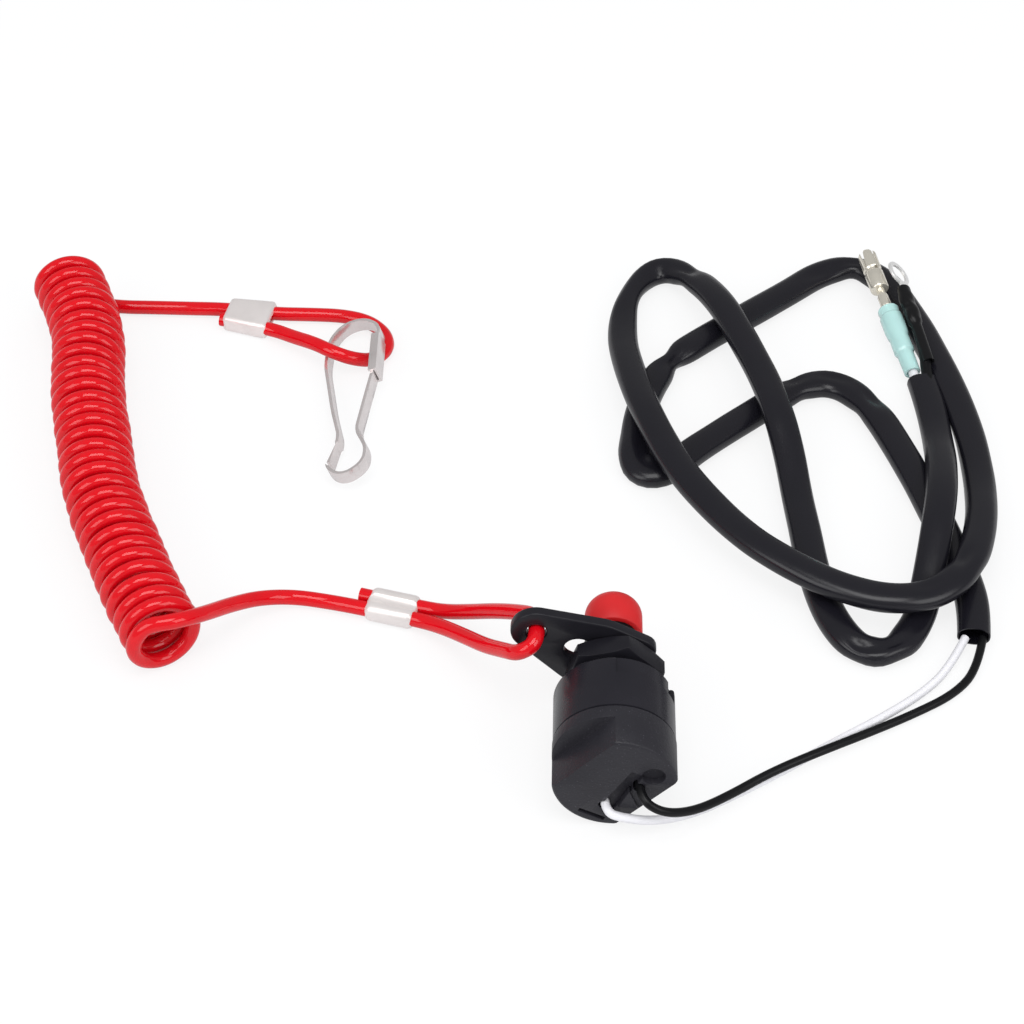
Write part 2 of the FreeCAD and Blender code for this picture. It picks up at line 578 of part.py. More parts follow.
clipCordPath = [
    (-109.5, 19.0, 3.4), (-105.0, 21.6, 2.4), (-101.0, 27.0, -1.2), (-96.4, 34.2, -5.8), (-90.0, 40.6, -9.8),
    (-81.5, 43.6, -12.4), (-72.5, 42.4, cordLow), (-64.0, 39.9, cordHeld), (-49.0, 35.9, cordHeld),
    (-43.0, 31.5, -9.8), (-37.0, 24.6, -5.8), (-31.5, 17.2, -1.2), (-27.0, 11.4, 3.6), (-23.2, 6.2, 8.0),
    (-18.7, 7.2, 10.9), (-19.2, 16.4, 11.0), (-23.6, 21.6, 6.4), (-29.5, 27.6, 0.4), (-36.0, 33.4, -6.2),
    (-42.4, 37.6, -10.8), (-48.0, 40.0, cordHeld), (-64.6, 44.4, cordHeld)]
hookCordPath = [
    (-148.0, 160.2, cordLow), (-141.0, 159.0, cordLow), (-131.5, 159.0, cordLow), (-121.0, 158.8, cordLow),
    (-110.5, 158.0, cordHeld), (-96.5, 156.2, cordHeld), (-86.0, 156.9, cordLow), (-76.5, 156.5, cordLow),
    (-69.0, 154.0, cordLow), (-64.0, 148.5, cordLow), (-63.0, 142.0, cordLow), (-67.0, 136.8, -12.6),
    (-72.5, 134.4, -10.0), (-78.0, 135.0, -8.1), (-83.5, 139.0, -8.4), (-90.0, 144.6, -11.0),
    (-97.0, 149.6, cordHeld), (-112.0, 153.6, cordHeld)]
cord("clip_cord", clipCordPath, size("cordRadius"))
cord("hook_cord", hookCordPath, size("cordRadius"))


def ferrule(label, centre, turn, narrow, wide, held):
    """A pressed oval sleeve over both passes of the cord."""
    half = size("ferruleLength") / 2
    outlines = []
    rise = size("ferruleThickness") / 2
    for place, width in ((-half, narrow), (half, wide)):
        corners = [FreeCAD.Vector(place, side * width / 2, level)
                   for side, level in ((-1, -rise), (1, -rise), (1, rise), (-1, rise))]
        outlines.append(Part.makePolygon(corners + corners[:1]))
    block = Part.makeLoft(outlines, True)
    along = []
    for edge in block.Edges:
        if abs(edge.Vertexes[0].Point.x - edge.Vertexes[-1].Point.x) > half:
            along.append(edge)
    block = block.makeFillet(size("ferruleRound"), along)
    spin = FreeCAD.Rotation(FreeCAD.Vector(0, 0, 1), turn)
    block.Placement = FreeCAD.Placement(FreeCAD.Vector(*centre, cordHeld), spin)
    return addShape(label, block.cut(held.Shape))


clipWidth = size("clipFerruleWidth")
ferrule("clip_ferrule", (-56.0, 39.95), -14.9, clipWidth, clipWidth, doc.getObject("clip_cord"))
ferrule("hook_ferrule", (-103.7, 154.6), -11.5, size("hookFerruleNarrow"), size("hookFerruleWide"),
        doc.getObject("hook_cord"))

# Snap hook: one strip forms the shank and the bulb that closes it. The second is the spring leg: it rises
# from the gate, bends over and ends in a folded channel round the shank. The hook leans, so that its
# shank passes over the cord loop, and the loop passes over the spring leg.

hookOrigin = FreeCAD.Vector(-79.5, 118.0, table + size("hookWidth") / 2 + 0.05)
hookLean = FreeCAD.Rotation(FreeCAD.Vector(0, 1, 0), -size("hookTilt"))
hookPlace = FreeCAD.Placement(hookOrigin, hookLean)
shankPath = [(14.85, 21.5), (14.85, 8.0), (13.2, -3.0), (11.4, -16.2), (14.8, -23.4), (14.4, -29.6), (9.0, -32.9),
             (4.0, -29.4), (3.2, -26.0)]
springPath = [(5.0, -25.4), (6.3, -17.2), (3.7, -5.5), (0.0, 14.8), (0.4, 25.5), (4.2, 31.0), (10.4, 31.4),
              (15.6, 26.6), (15.4, 22.0)]
shank = strip(shankPath, size("hookStrip"), size("hookWidth"), 2.4)
leg = strip(springPath, size("hookStrip"), size("hookWidth"), 2.4)
grip = size("hookStrip") / 2 + size("seatFit")
channelSize = (2 * (grip + size("channelWall")), 15.6, size("hookWidth") + 2 * size("channelWall"))
channel = Part.makeBox(*channelSize, FreeCAD.Vector(14.85 - channelSize[0] / 2, 7.0, -channelSize[2] / 2))
room = Part.makeBox(2 * grip + 4, 15.6, size("hookWidth") + 2 * size("seatFit"),
                    FreeCAD.Vector(14.85 - 4 - grip, 6.0, -size("hookWidth") / 2 - size("seatFit")))
leg = leg.fuse(channel.cut(room)).removeSplitter()
shank.Placement = hookPlace
leg.Placement = hookPlace
addShape("snap_hook", shank)
addShape("hook_spring_strip", leg)

# Sleeve and wires

sleeveLow = table + size("sleeveRadius")
over = sleeveLow + 2 * size("sleeveRadius") + 0.4
wireLow = table + size("wireRadius")
sleevePath = [
    (91.5, 33.0, sleeveLow), (92.5, 41.0, sleeveLow), (91.8, 52.0, sleeveLow), (88.5, 67.0, sleeveLow),
    (84.0, 84.0, sleeveLow), (78.5, 103.0, sleeveLow), (72.0, 120.0, sleeveLow), (62.5, 130.0, sleeveLow),
    (51.5, 127.0, sleeveLow), (40.5, 117.0, sleeveLow), (30.5, 108.0, sleeveLow), (21.5, 99.5, sleeveLow),
    (15.5, 92.0, sleeveLow), (8.6, 91.5, sleeveLow), (6.6, 99.0, sleeveLow), (7.4, 111.5, sleeveLow),
    (10.5, 125.0, sleeveLow), (16.5, 137.5, sleeveLow), (27.5, 148.0, sleeveLow), (39.5, 158.0, sleeveLow),
    (51.0, 168.0, sleeveLow), (61.5, 177.5, sleeveLow), (72.0, 182.0, sleeveLow), (80.5, 174.5, sleeveLow),
    (86.5, 159.5, sleeveLow), (91.5, 142.5, sleeveLow), (95.8, 124.5, sleeveLow), (98.5, 107.0, sleeveLow),
    (99.0, 89.5, sleeveLow), (97.2, 71.0, -7.6), (92.0, 51.0, over), (82.0, 40.5, over), (70.0, 38.5, over),
    (57.0, 43.0, over), (45.0, 51.0, over), (34.0, 61.0, over), (24.0, 75.0, over), (15.5, 91.0, over),
    (9.5, 108.5, over), (5.2, 128.5, -7.4), (3.0, 149.0, sleeveLow), (5.5, 168.0, sleeveLow),
    (14.5, 179.5, sleeveLow), (24.0, 172.0, -8.6), (31.0, 156.5, over), (37.0, 140.0, over),
    (42.0, 124.0, over), (45.5, 108.5, over), (48.0, 97.0, -8.6), (49.5, 84.5, sleeveLow),
    (51.0, 69.5, sleeveLow), (52.5, 53.5, sleeveLow), (55.5, 38.5, sleeveLow), (62.0, 27.0, sleeveLow),
    (71.0, 27.0, sleeveLow), (77.5, 36.5, sleeveLow), (80.5, 47.0, sleeveLow), (82.8, 57.0, -7.8),
    (85.0, 67.5, over), (87.0, 79.0, over), (88.6, 92.5, -7.4), (89.2, 107.0, sleeveLow),
    (88.6, 120.0, sleeveLow), (87.2, 130.5, sleeveLow)]
cord("wire_sleeve", sleevePath, size("sleeveRadius"))

turn = math.radians(size("flatTurn"))


def exitPlace(exitN, exitT, y):
    """A point of a wire exit: N along the flats' normal, T along the flats."""
    return (exitN * math.cos(turn) - exitT * math.sin(turn), y,
            -(exitN * math.sin(turn) + exitT * math.cos(turn)))


wireInside = coverBack + size("coverFloor") + 1.5
whiteWirePath = [
    exitPlace(WHITE_N, WHITE_T, wireInside), exitPlace(WHITE_N, WHITE_T, coverBack - 2.2),
    (2.6, -30.3, -8.8), (9.7, -29.1, -11.2), (19.0, -24.9, -13.4), (30.3, -17.9, wireLow),
    (42.5, -9.8, wireLow), (54.0, -1.5, wireLow), (66.0, 6.5, wireLow), (77.0, 15.0, wireLow),
    (84.5, 23.5, wireLow), (89.4, 33.0, wireLow + 1.4)]
blackWirePath = [
    exitPlace(BLACK_N, BLACK_T, wireInside), exitPlace(BLACK_N, BLACK_T, coverBack - 3.0),
    (11.0, -32.6, -3.9), (18.5, -28.8, -7.8), (27.0, -21.6, -10.8), (38.0, -13.3, -11.2),
    (50.0, -6.6, -11.3), (62.0, 0.9, -13.0), (74.0, 8.0, wireLow), (85.0, 15.0, wireLow),
    (91.6, 23.5, wireLow), (93.8, 33.0, wireLow + 1.4)]
cord("white_wire", whiteWirePath, size("wireRadius"))
cord("black_wire", blackWirePath, size("wireRadius"))

# The far end of the sleeve: a bullet socket in its clear cover, and a ring terminal in its boot. Both
# rise on to the sleeve's own bend.

mouth = FreeCAD.Vector(*sleevePath[-1])
outward = (mouth - FreeCAD.Vector(*sleevePath[-2])).normalize()
aside = FreeCAD.Vector(outward.y, -outward.x, 0)


def placedBetween(start, end, lean=0.0):
    """A placement whose local +X points from start to end, turned about itself by the lean."""
    first = FreeCAD.Vector(*start)
    swing = FreeCAD.Rotation(FreeCAD.Vector(1, 0, 0), FreeCAD.Vector(*end) - first)
    return FreeCAD.Placement(first, swing.multiply(FreeCAD.Rotation(FreeCAD.Vector(1, 0, 0), lean)))


def turned(profile):
    """A solid of revolution about local X from (x, radius) corners."""
    corners = [FreeCAD.Vector(x, radius, 0) for x, radius in profile]
    face = Part.Face(Part.makePolygon(corners + corners[:1]))
    return face.revolve(FreeCAD.Vector(0, 0, 0), FreeCAD.Vector(1, 0, 0), 360)


bulletPlace = placedBetween((84.7, 133.2, -11.0), (74.6, 176.6, -4.4))
tubeLength = size("coverTubeLength")
wide = size("coverTubeRadius")
tail = size("coverTubeEnd")
tubeWall = 0.7
bulletCover = turned([
    (0, tail - tubeWall), (0, tail), (0.3 * tubeLength, tail + 0.1), (0.38 * tubeLength, wide - 0.3),
    (0.68 * tubeLength, wide - 0.3), (0.72 * tubeLength, wide), (tubeLength, wide),
    (tubeLength, wide - tubeWall), (0.42 * tubeLength, wide - tubeWall - 0.3), (0.33 * tubeLength, tail - tubeWall)])
bulletCover.Placement = bulletPlace
addShape("bullet_cover", bulletCover)

crimp = size("neckCrimp")
crimpStart = 0.5 * tubeLength
barrelStart = tubeLength + size("crimpLength")
barrelEnd = barrelStart + size("socketLength")
bullet = turned([
    (crimpStart, 0), (crimpStart, crimp), (barrelStart - 2, crimp), (barrelStart, size("socketRadius")),
    (barrelEnd, size("socketRadius")), (barrelEnd, size("socketBore")), (barrelStart + 3, size("socketBore")),
    (barrelStart + 3, 0)])
bullet.Placement = bulletPlace
addShape("bullet_terminal", bullet)

ringPlace = placedBetween((89.1, 135.0, -8.4), (82.7, 168.5, -3.2), size("eyeTurn"))
bootLength = size("bootLength")
bootTail = size("bootTail")
boot = turned([
    (0, bootTail - 0.3), (0, bootTail), (0.5 * bootLength, bootTail), (0.56 * bootLength, size("bootRadius")),
    (0.9 * bootLength, size("bootRadius")), (bootLength, bootTail), (bootLength, bootTail - 0.3)])
boot.Placement = ringPlace
addShape("ring_boot", boot)

barrelRadius = bootTail - 0.3 - size("seatFit")
eyeCentre = bootLength + size("eyeRadius") + 1.5
eyeSheet = size("eyeSheet")
eye = Part.makeCylinder(size("eyeRadius"), eyeSheet, FreeCAD.Vector(eyeCentre, 0, -eyeSheet / 2))
tang = Part.makeBox(size("eyeRadius") + 4, 2.0, eyeSheet, FreeCAD.Vector(bootLength - 2.5, -1.0, -eyeSheet / 2))
barrel = Part.makeCylinder(barrelRadius, 0.35 * bootLength, FreeCAD.Vector(0.6 * bootLength, 0, 0),
                           FreeCAD.Vector(1, 0, 0))
bore = Part.makeCylinder(size("eyeBore"), 2 * eyeSheet, FreeCAD.Vector(eyeCentre, 0, -eyeSheet))
ringTerminal = eye.fuse([tang, barrel]).cut(bore).removeSplitter()
ringTerminal.Placement = ringPlace
addShape("ring_terminal", ringTerminal)

whiteStart = mouth - aside * 1.6
blackStart = mouth + aside * 1.4 + FreeCAD.Vector(0, 0, 0.8)
cord("white_wire_end", [whiteStart, whiteStart + outward * 1.5, bulletPlace.multVec(FreeCAD.Vector(crimpStart, 0, 0))],
     size("wireRadius"))
cord("black_wire_end", [blackStart, blackStart + outward * 1.8, ringPlace.multVec(FreeCAD.Vector(0.6 * bootLength, 0, 0))],
     size("wireRadius"))

# Every piece is checked before any file is written.

doc.recompute()
pieces = [item for item in doc.Objects if item.TypeId in ("PartDesign::Body", "Part::Feature")]
for item in doc.Objects:
    if "Invalid" in item.State or "Error" in item.State:
        raise ValueError(f"{item.Label} failed")
os.makedirs("parts", exist_ok=True)
for item in pieces:
    if item.Shape.isNull() or not item.Shape.isValid() or len(item.Shape.Solids) != 1:
        raise ValueError(f"{item.Label} isn't one valid solid: {len(item.Shape.Solids)}")
for item in pieces:
    item.Shape.exportStep(f"parts/{item.Label}.step")
print(len(pieces), "pieces written")
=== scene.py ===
import math
import bmesh
import bpy
from mathutils import Matrix, Vector, noise


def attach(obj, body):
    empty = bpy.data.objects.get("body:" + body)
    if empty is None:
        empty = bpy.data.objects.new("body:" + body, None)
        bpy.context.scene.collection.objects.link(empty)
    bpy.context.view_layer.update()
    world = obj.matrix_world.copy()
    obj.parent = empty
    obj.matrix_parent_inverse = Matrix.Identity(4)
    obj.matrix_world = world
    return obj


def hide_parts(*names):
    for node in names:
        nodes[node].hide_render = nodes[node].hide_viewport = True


# Engine kill switch with a coiled lanyard. Metres; the switch axis is Y and its button points to +Y.
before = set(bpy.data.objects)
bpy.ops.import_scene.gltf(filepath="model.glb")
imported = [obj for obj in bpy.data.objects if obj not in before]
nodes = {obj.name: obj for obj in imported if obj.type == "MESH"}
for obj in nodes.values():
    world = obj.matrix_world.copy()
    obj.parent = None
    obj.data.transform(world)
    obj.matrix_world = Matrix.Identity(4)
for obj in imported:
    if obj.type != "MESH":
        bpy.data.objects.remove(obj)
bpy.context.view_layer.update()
table = -0.0148  # the height of what the part lies on
print("frame loaded:", len(nodes), "nodes")


# Shader nodes

class Signal:  # one output of some nodes, so that a sum of outputs is written as a sum
    def __init__(self, wiring, output):
        self.wiring = wiring
        self.output = output

    def maths(self, operation, first, second):
        return self.wiring.add("ShaderNodeMath", {"operation": operation}, {0: first, 1: second})

    def __add__(self, other):
        return self.maths("ADD", self, other)

    def __radd__(self, other):
        return self.maths("ADD", other, self)

    def __sub__(self, other):
        return self.maths("SUBTRACT", self, other)

    def __rsub__(self, other):
        return self.maths("SUBTRACT", other, self)

    def __mul__(self, other):
        return self.maths("MULTIPLY", self, other)

    def __rmul__(self, other):
        return self.maths("MULTIPLY", other, self)

    def __pow__(self, other):
        return self.maths("POWER", self, other)

    def __gt__(self, other):
        return self.maths("GREATER_THAN", self, other)

    def most(self, other):
        return self.maths("MAXIMUM", self, other)


class Wiring:  # the nodes of a material or of the world, and the one call that adds a node to them
    def __init__(self, owner):
        owner.use_nodes = True
        self.tree = owner.node_tree

    def feed(self, socket, value):
        if isinstance(value, Signal):
            self.tree.links.new(value.output, socket)
        else:
            socket.default_value = value

    def add(self, kind, settings, sockets, output=0):
        made = self.tree.nodes.new(kind)
        for name, value in settings.items():
            setattr(made, name, value)
        for name, value in sockets.items():
            self.feed(made.inputs[name], value)
        return Signal(self, made.outputs[output])


class Finish(Wiring):  # a material with its constants
    def __init__(self, name, colour, roughness, **constants):
        self.material = bpy.data.materials.new(name)
        super().__init__(self.material)
        self.shader = self.tree.nodes["Principled BSDF"]
        self.paint("Base Color", (*colour, 1.0))
        self.paint("Roughness", roughness)
        for socket, value in constants.items():
            self.paint(socket.replace("_", " "), value)

    def paint(self, socket, value):
        self.feed(self.shader.inputs[socket], value)

    def noise(self, scale, detail):
        here = self.add("ShaderNodeTexCoord", {}, {}, "Object")
        return self.add("ShaderNodeTexNoise", {}, {"Vector": here, "Scale": scale, "Detail": detail})

    def blend(self, amount, first, second):
        return self.add("ShaderNodeMix", {"data_type": "RGBA", "clamp_factor": False},
                        {0: amount, 6: (*first, 1.0), 7: (*second, 1.0)}, 2)

    def bump(self, height, distance):
        self.paint("Normal", self.add("ShaderNodeBump", {}, {"Height": height, "Distance": distance,
                                                             "Strength": 1.0}))


def mouldedPlastic(name, colour, roughness, grain, level=0.2, specks=0.0):
    finish = Finish(name, colour, roughness, Specular_IOR_Level=level)
    cloud = finish.noise(90.0, 4.0)  # patches of about a centimetre
    speck = finish.noise(1500.0, 2.0)  # grain of under a millimetre
    dust = finish.noise(2600.0, 1.0) > 0.74
    pale = tuple(1.5 * part + 0.004 for part in colour)
    finish.paint("Base Color", finish.blend(cloud ** 2.0 + dust * specks, colour, pale))
    finish.paint("Roughness", roughness - 0.08 + 0.16 * cloud)
    finish.bump(0.7 * speck + 0.3 * cloud, grain)
    return finish.material


def smoothPlastic(name, colour, roughness, coat=0.0, level=0.5, grain=0.00003, **constants):
    finish = Finish(name, colour, roughness, Coat_Weight=coat, Coat_Roughness=0.12, Specular_IOR_Level=level,
                    **constants)
    cloud = finish.noise(140.0, 3.0)
    dark = tuple(0.86 * part for part in colour)
    finish.paint("Base Color", finish.blend(cloud, dark, colour))
    finish.paint("Roughness", roughness - 0.03 + 0.06 * cloud)
    finish.bump(finish.noise(260.0, 2.0), grain)
    return finish.material


def brightMetal(name, colour, roughness, grain=0.000015, metallic=1.0):
    finish = Finish(name, colour, roughness, Metallic=metallic)
    brushed = finish.noise(700.0, 4.0)
    cloud = finish.noise(120.0, 3.0)
    dull = tuple(0.72 * part for part in colour)
    finish.paint("Base Color", finish.blend(cloud ** 3.0, colour, dull))
    finish.paint("Roughness", roughness + 0.14 * (brushed - 0.5))
    finish.bump(brushed, grain)
    return finish.material


finishes = {  # colour, roughness, and for moulded plastic the depth of its grain
    "housing": mouldedPlastic("black moulded housing", (0.0120, 0.0113, 0.0155), 0.26, 0.00001, level=0.28),
    "cover": mouldedPlastic("black moulded cover", (0.0150, 0.0142, 0.0188), 0.40, 0.00012, level=0.34,
                            specks=4.0),
    "nut": mouldedPlastic("black nut", (0.0092, 0.0087, 0.0120), 0.30, 0.00002, level=0.22),
    "clip": mouldedPlastic("black lock clip", (0.0105, 0.0099, 0.0132), 0.30, 0.00001, level=0.24),
    "stem": mouldedPlastic("black plunger", (0.0060, 0.0060, 0.0070), 0.35, 0.00002),
    "rubber": mouldedPlastic("black rubber", (0.0060, 0.0060, 0.0065), 0.5, 0.00004),
    "cap": smoothPlastic("red button", (0.60, 0.012, 0.014), 0.42, level=0.35),
    "cord": smoothPlastic("red lanyard cord", (0.66, 0.003, 0.009), 0.05, grain=0.0, Subsurface_Weight=0.06,
                          Subsurface_Radius=(0.8, 0.15, 0.1), Subsurface_Scale=0.001),
    "sleeve": smoothPlastic("black sleeve", (0.0085, 0.0080, 0.0120), 0.26, level=0.45, grain=0.00004),
    "white": smoothPlastic("white insulation", (0.80, 0.79, 0.82), 0.35),
    "black": smoothPlastic("black insulation", (0.0050, 0.0050, 0.0060), 0.33, level=0.25),
    "boot": smoothPlastic("black boot", (0.0050, 0.0050, 0.0060), 0.33, level=0.3),
    "clear": smoothPlastic("clear cover", (0.66, 0.99, 0.96), 0.16, coat=0.8, Transmission_Weight=0.36),
    "steel": brightMetal("plated strip", (0.90, 0.84, 0.83), 0.24, grain=0.000002, metallic=0.75),
    "ferrule": brightMetal("pressed ferrule", (0.95, 0.89, 0.87), 0.42, metallic=0.55),
    "terminal": brightMetal("tinned terminal", (0.92, 0.87, 0.76), 0.20, grain=0.000002, metallic=0.72),
    "ring": brightMetal("tinned ring", (0.93, 0.92, 0.91), 0.4, metallic=0.6),
    "spring": brightMetal("spring wire", (0.55, 0.54, 0.52), 0.25),
    "brass": brightMetal("contact brass", (0.72, 0.50, 0.20), 0.28),
}
print("finishes made:", len(finishes))


# Modelling

hair = 0.0001  # how near a turned profile comes to its own axis
past = 0.001  # how far outside a face its cutters start
farOut = 0.02  # cutters reach this far, well outside the switch


def idle():
    if bpy.context.object and bpy.context.object.mode != "OBJECT":
        bpy.ops.object.mode_set(mode="OBJECT")
    bpy.ops.object.select_all(action="DESELECT")


def only(piece):
    idle()
    piece.select_set(True)
    bpy.context.view_layer.objects.active = piece


def named(name):
    piece = bpy.context.object
    piece.name = name
    piece.data.name = name
    return piece


def edit(piece, mode="VERT"):
    only(piece)
    bpy.ops.object.mode_set(mode="EDIT")
    bpy.ops.mesh.select_mode(type=mode)
    bpy.ops.mesh.select_all(action="DESELECT")


def pick(piece, rule, kind="faces"):  # chosen by place, and for faces by normal too
    mesh = bmesh.from_edit_mesh(piece.data)
    for item in getattr(mesh, kind):
        if kind == "faces":
            item.select_set(bool(rule(item.calc_center_median(), item.normal)))
        elif kind == "edges":
            first, last = (end.co.copy() for end in item.verts)
            item.select_set(bool(rule(first, last)))
        else:
            item.select_set(bool(rule(item.co)))
    mesh.select_flush(True)
    bmesh.update_edit_mesh(piece.data)


def modify(piece, kind, **settings):
    only(piece)
    modifier = piece.modifiers.new(kind.title(), kind)
    for name, value in settings.items():
        setattr(modifier, name, value)
    bpy.ops.object.modifier_apply(modifier=modifier.name)


def carve(piece, cutter, operation="DIFFERENCE"):
    modify(piece, "BOOLEAN", operation=operation, object=cutter, solver="EXACT")
    only(cutter)
    bpy.ops.object.delete()


def tidy(piece, gap=0.000004, outward=True):
    edit(piece)
    bpy.ops.mesh.select_all(action="SELECT")
    if gap:  # none where narrow faces have to stay
        bpy.ops.mesh.remove_doubles(threshold=gap)
    bpy.ops.mesh.normals_make_consistent(inside=False)
    if outward and bmesh.from_edit_mesh(piece.data).calc_volume(signed=True) < 0:
        bpy.ops.mesh.flip_normals()
    idle()


def settle(piece, matrix=None):  # its place goes into the mesh
    if matrix is not None:
        piece.matrix_world = matrix @ piece.matrix_world
    only(piece)
    bpy.ops.object.transform_apply(location=True, rotation=True, scale=True)


def turned(name, profile, axis=(0, 1, 0), sides=72):  # from (along, radius) steps
    idle()
    axis = Vector(axis)
    along, radius = profile[0]
    bpy.ops.mesh.primitive_circle_add(vertices=sides, radius=radius, location=axis * along,
                                      rotation=axis.to_track_quat("Z", "Y").to_euler())
    piece = named(name)
    settle(piece)
    edit(piece)
    bpy.ops.mesh.select_all(action="SELECT")
    for nextAlong, nextRadius in profile[1:]:
        bpy.ops.mesh.extrude_region_move(TRANSFORM_OT_translate={"value": axis * (nextAlong - along)})
        if abs(nextRadius - radius) > 1e-7:
            bpy.ops.transform.resize(value=(nextRadius / radius,) * 3, center_override=axis * nextAlong)
        along, radius = nextAlong, nextRadius
    if profile[0] != profile[-1]:  # an open profile gets a face at each end
        bpy.ops.mesh.select_all(action="SELECT")
        bpy.ops.mesh.fill_holes(sides=0)
    tidy(piece)
    return piece


def block(name, low, high, matrix=None):  # a box between two corners
    idle()
    low, high = Vector(low), Vector(high)
    bpy.ops.mesh.primitive_cube_add(size=1, location=(low + high) / 2, scale=high - low)
    piece = named(name)
    settle(piece, matrix)
    return piece


def outline(name, points, thickness, matrix=None):  # a plate drawn point by point, pulled up along local Z
    idle()
    bpy.ops.mesh.primitive_circle_add(vertices=len(points), radius=0.01, fill_type="NGON")
    piece = named(name)
    for corner, (x, y) in zip(piece.data.vertices, points):
        corner.co = (x, y, 0)
    edit(piece, "FACE")
    bpy.ops.mesh.select_all(action="SELECT")
    bpy.ops.mesh.extrude_region_move(TRANSFORM_OT_translate={"value": (0, 0, thickness)})
    settle(piece, matrix)
    tidy(piece)
    return piece


def rod(radius, low, high, axis, sides, place):  # a round cutter
    cutter = turned("rod", [(low, hair), (low, radius), (high, radius), (high, hair)], axis, sides)
    settle(cutter, place)
    return cutter


def edged(piece, width, segments=2, gap=0.000001):  # the gap closes faces that the bevel left without an area
    modify(piece, "BEVEL", width=width, segments=segments, limit_method="ANGLE", angle_limit=math.radians(30),
           use_clamp_overlap=True)
    if gap is not None:
        tidy(piece, gap)


def finished(piece, finish, body, slot, *replaced, smooth=32):
    piece.data.materials.clear()
    piece.data.materials.append(finishes[finish])
    if piece.type == "MESH":
        only(piece)
        bpy.ops.object.shade_smooth_by_angle(angle=math.radians(smooth))
    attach(piece, body)
    if replaced:
        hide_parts(*replaced)
    return piece


def polar(reach, degrees):
    return reach * math.cos(math.radians(degrees)), reach * math.sin(math.radians(degrees))


def acrossAxis(degrees):  # local X and Y lie across the switch axis, turned about it, and local Z is the axis
    angle = math.radians(degrees)
    right = Vector((math.cos(angle), 0, -math.sin(angle)))
    down = Vector((-math.sin(angle), 0, -math.cos(angle)))
    return Matrix((right, down, Vector((0, 1, 0)))).transposed().to_4x4()


def between(start, end, lean=0.0):  # local X from start towards end, turned about itself
    start, end = Vector(start), Vector(end)
    swing = Vector((1, 0, 0)).rotation_difference(end - start)
    return Matrix.Translation(start) @ swing.to_matrix().to_4x4() @ Matrix.Rotation(math.radians(lean), 4, "X")


# Cords: the route points of the part's source, with the coil bent a little more as in the picture

coilPath = [
    (-0.156, 0.1605), (-0.1498, 0.1465), (-0.1459, 0.133), (-0.1446, 0.1195), (-0.1424, 0.106),
    (-0.1387, 0.0915), (-0.1359, 0.0775), (-0.131, 0.0635), (-0.1249, 0.0495), (-0.1191, 0.0355),
    (-0.1109, 0.02)]

clipCordPath = [
    (-0.1095, 0.019, 0.0034), (-0.105, 0.0216, 0.0024), (-0.101, 0.027, -0.0012),
    (-0.0964, 0.0342, -0.0058), (-0.09, 0.0406, -0.0098), (-0.0815, 0.0436, -0.0124),
    (-0.0725, 0.0424, -0.0128), (-0.064, 0.0399, -0.0122), (-0.049, 0.0359, -0.0122),
    (-0.043, 0.0315, -0.0098), (-0.037, 0.0246, -0.0058), (-0.0315, 0.0172, -0.0012),
    (-0.027, 0.0114, 0.0036), (-0.0232, 0.0062, 0.008), (-0.0187, 0.0072, 0.0109),
    (-0.0192, 0.0164, 0.011), (-0.0236, 0.0216, 0.0064), (-0.0295, 0.0276, 0.0004),
    (-0.036, 0.0334, -0.0062), (-0.0424, 0.0376, -0.0108), (-0.048, 0.04, -0.0122),
    (-0.0646, 0.0444, -0.0122)]

hookCordPath = [
    (-0.148, 0.1602, -0.0128), (-0.141, 0.159, -0.0128), (-0.1315, 0.159, -0.0128),
    (-0.121, 0.1588, -0.0128), (-0.1105, 0.158, -0.0122), (-0.0965, 0.1562, -0.0122),
    (-0.086, 0.1569, -0.0128), (-0.0765, 0.1565, -0.0128), (-0.069, 0.154, -0.0128),
    (-0.064, 0.1485, -0.0128), (-0.063, 0.142, -0.0128), (-0.067, 0.1368, -0.0126),
    (-0.0725, 0.1344, -0.01), (-0.078, 0.135, -0.0081), (-0.0835, 0.139, -0.0084),
    (-0.09, 0.1446, -0.011), (-0.097, 0.1496, -0.0122), (-0.112, 0.1536, -0.0122)]

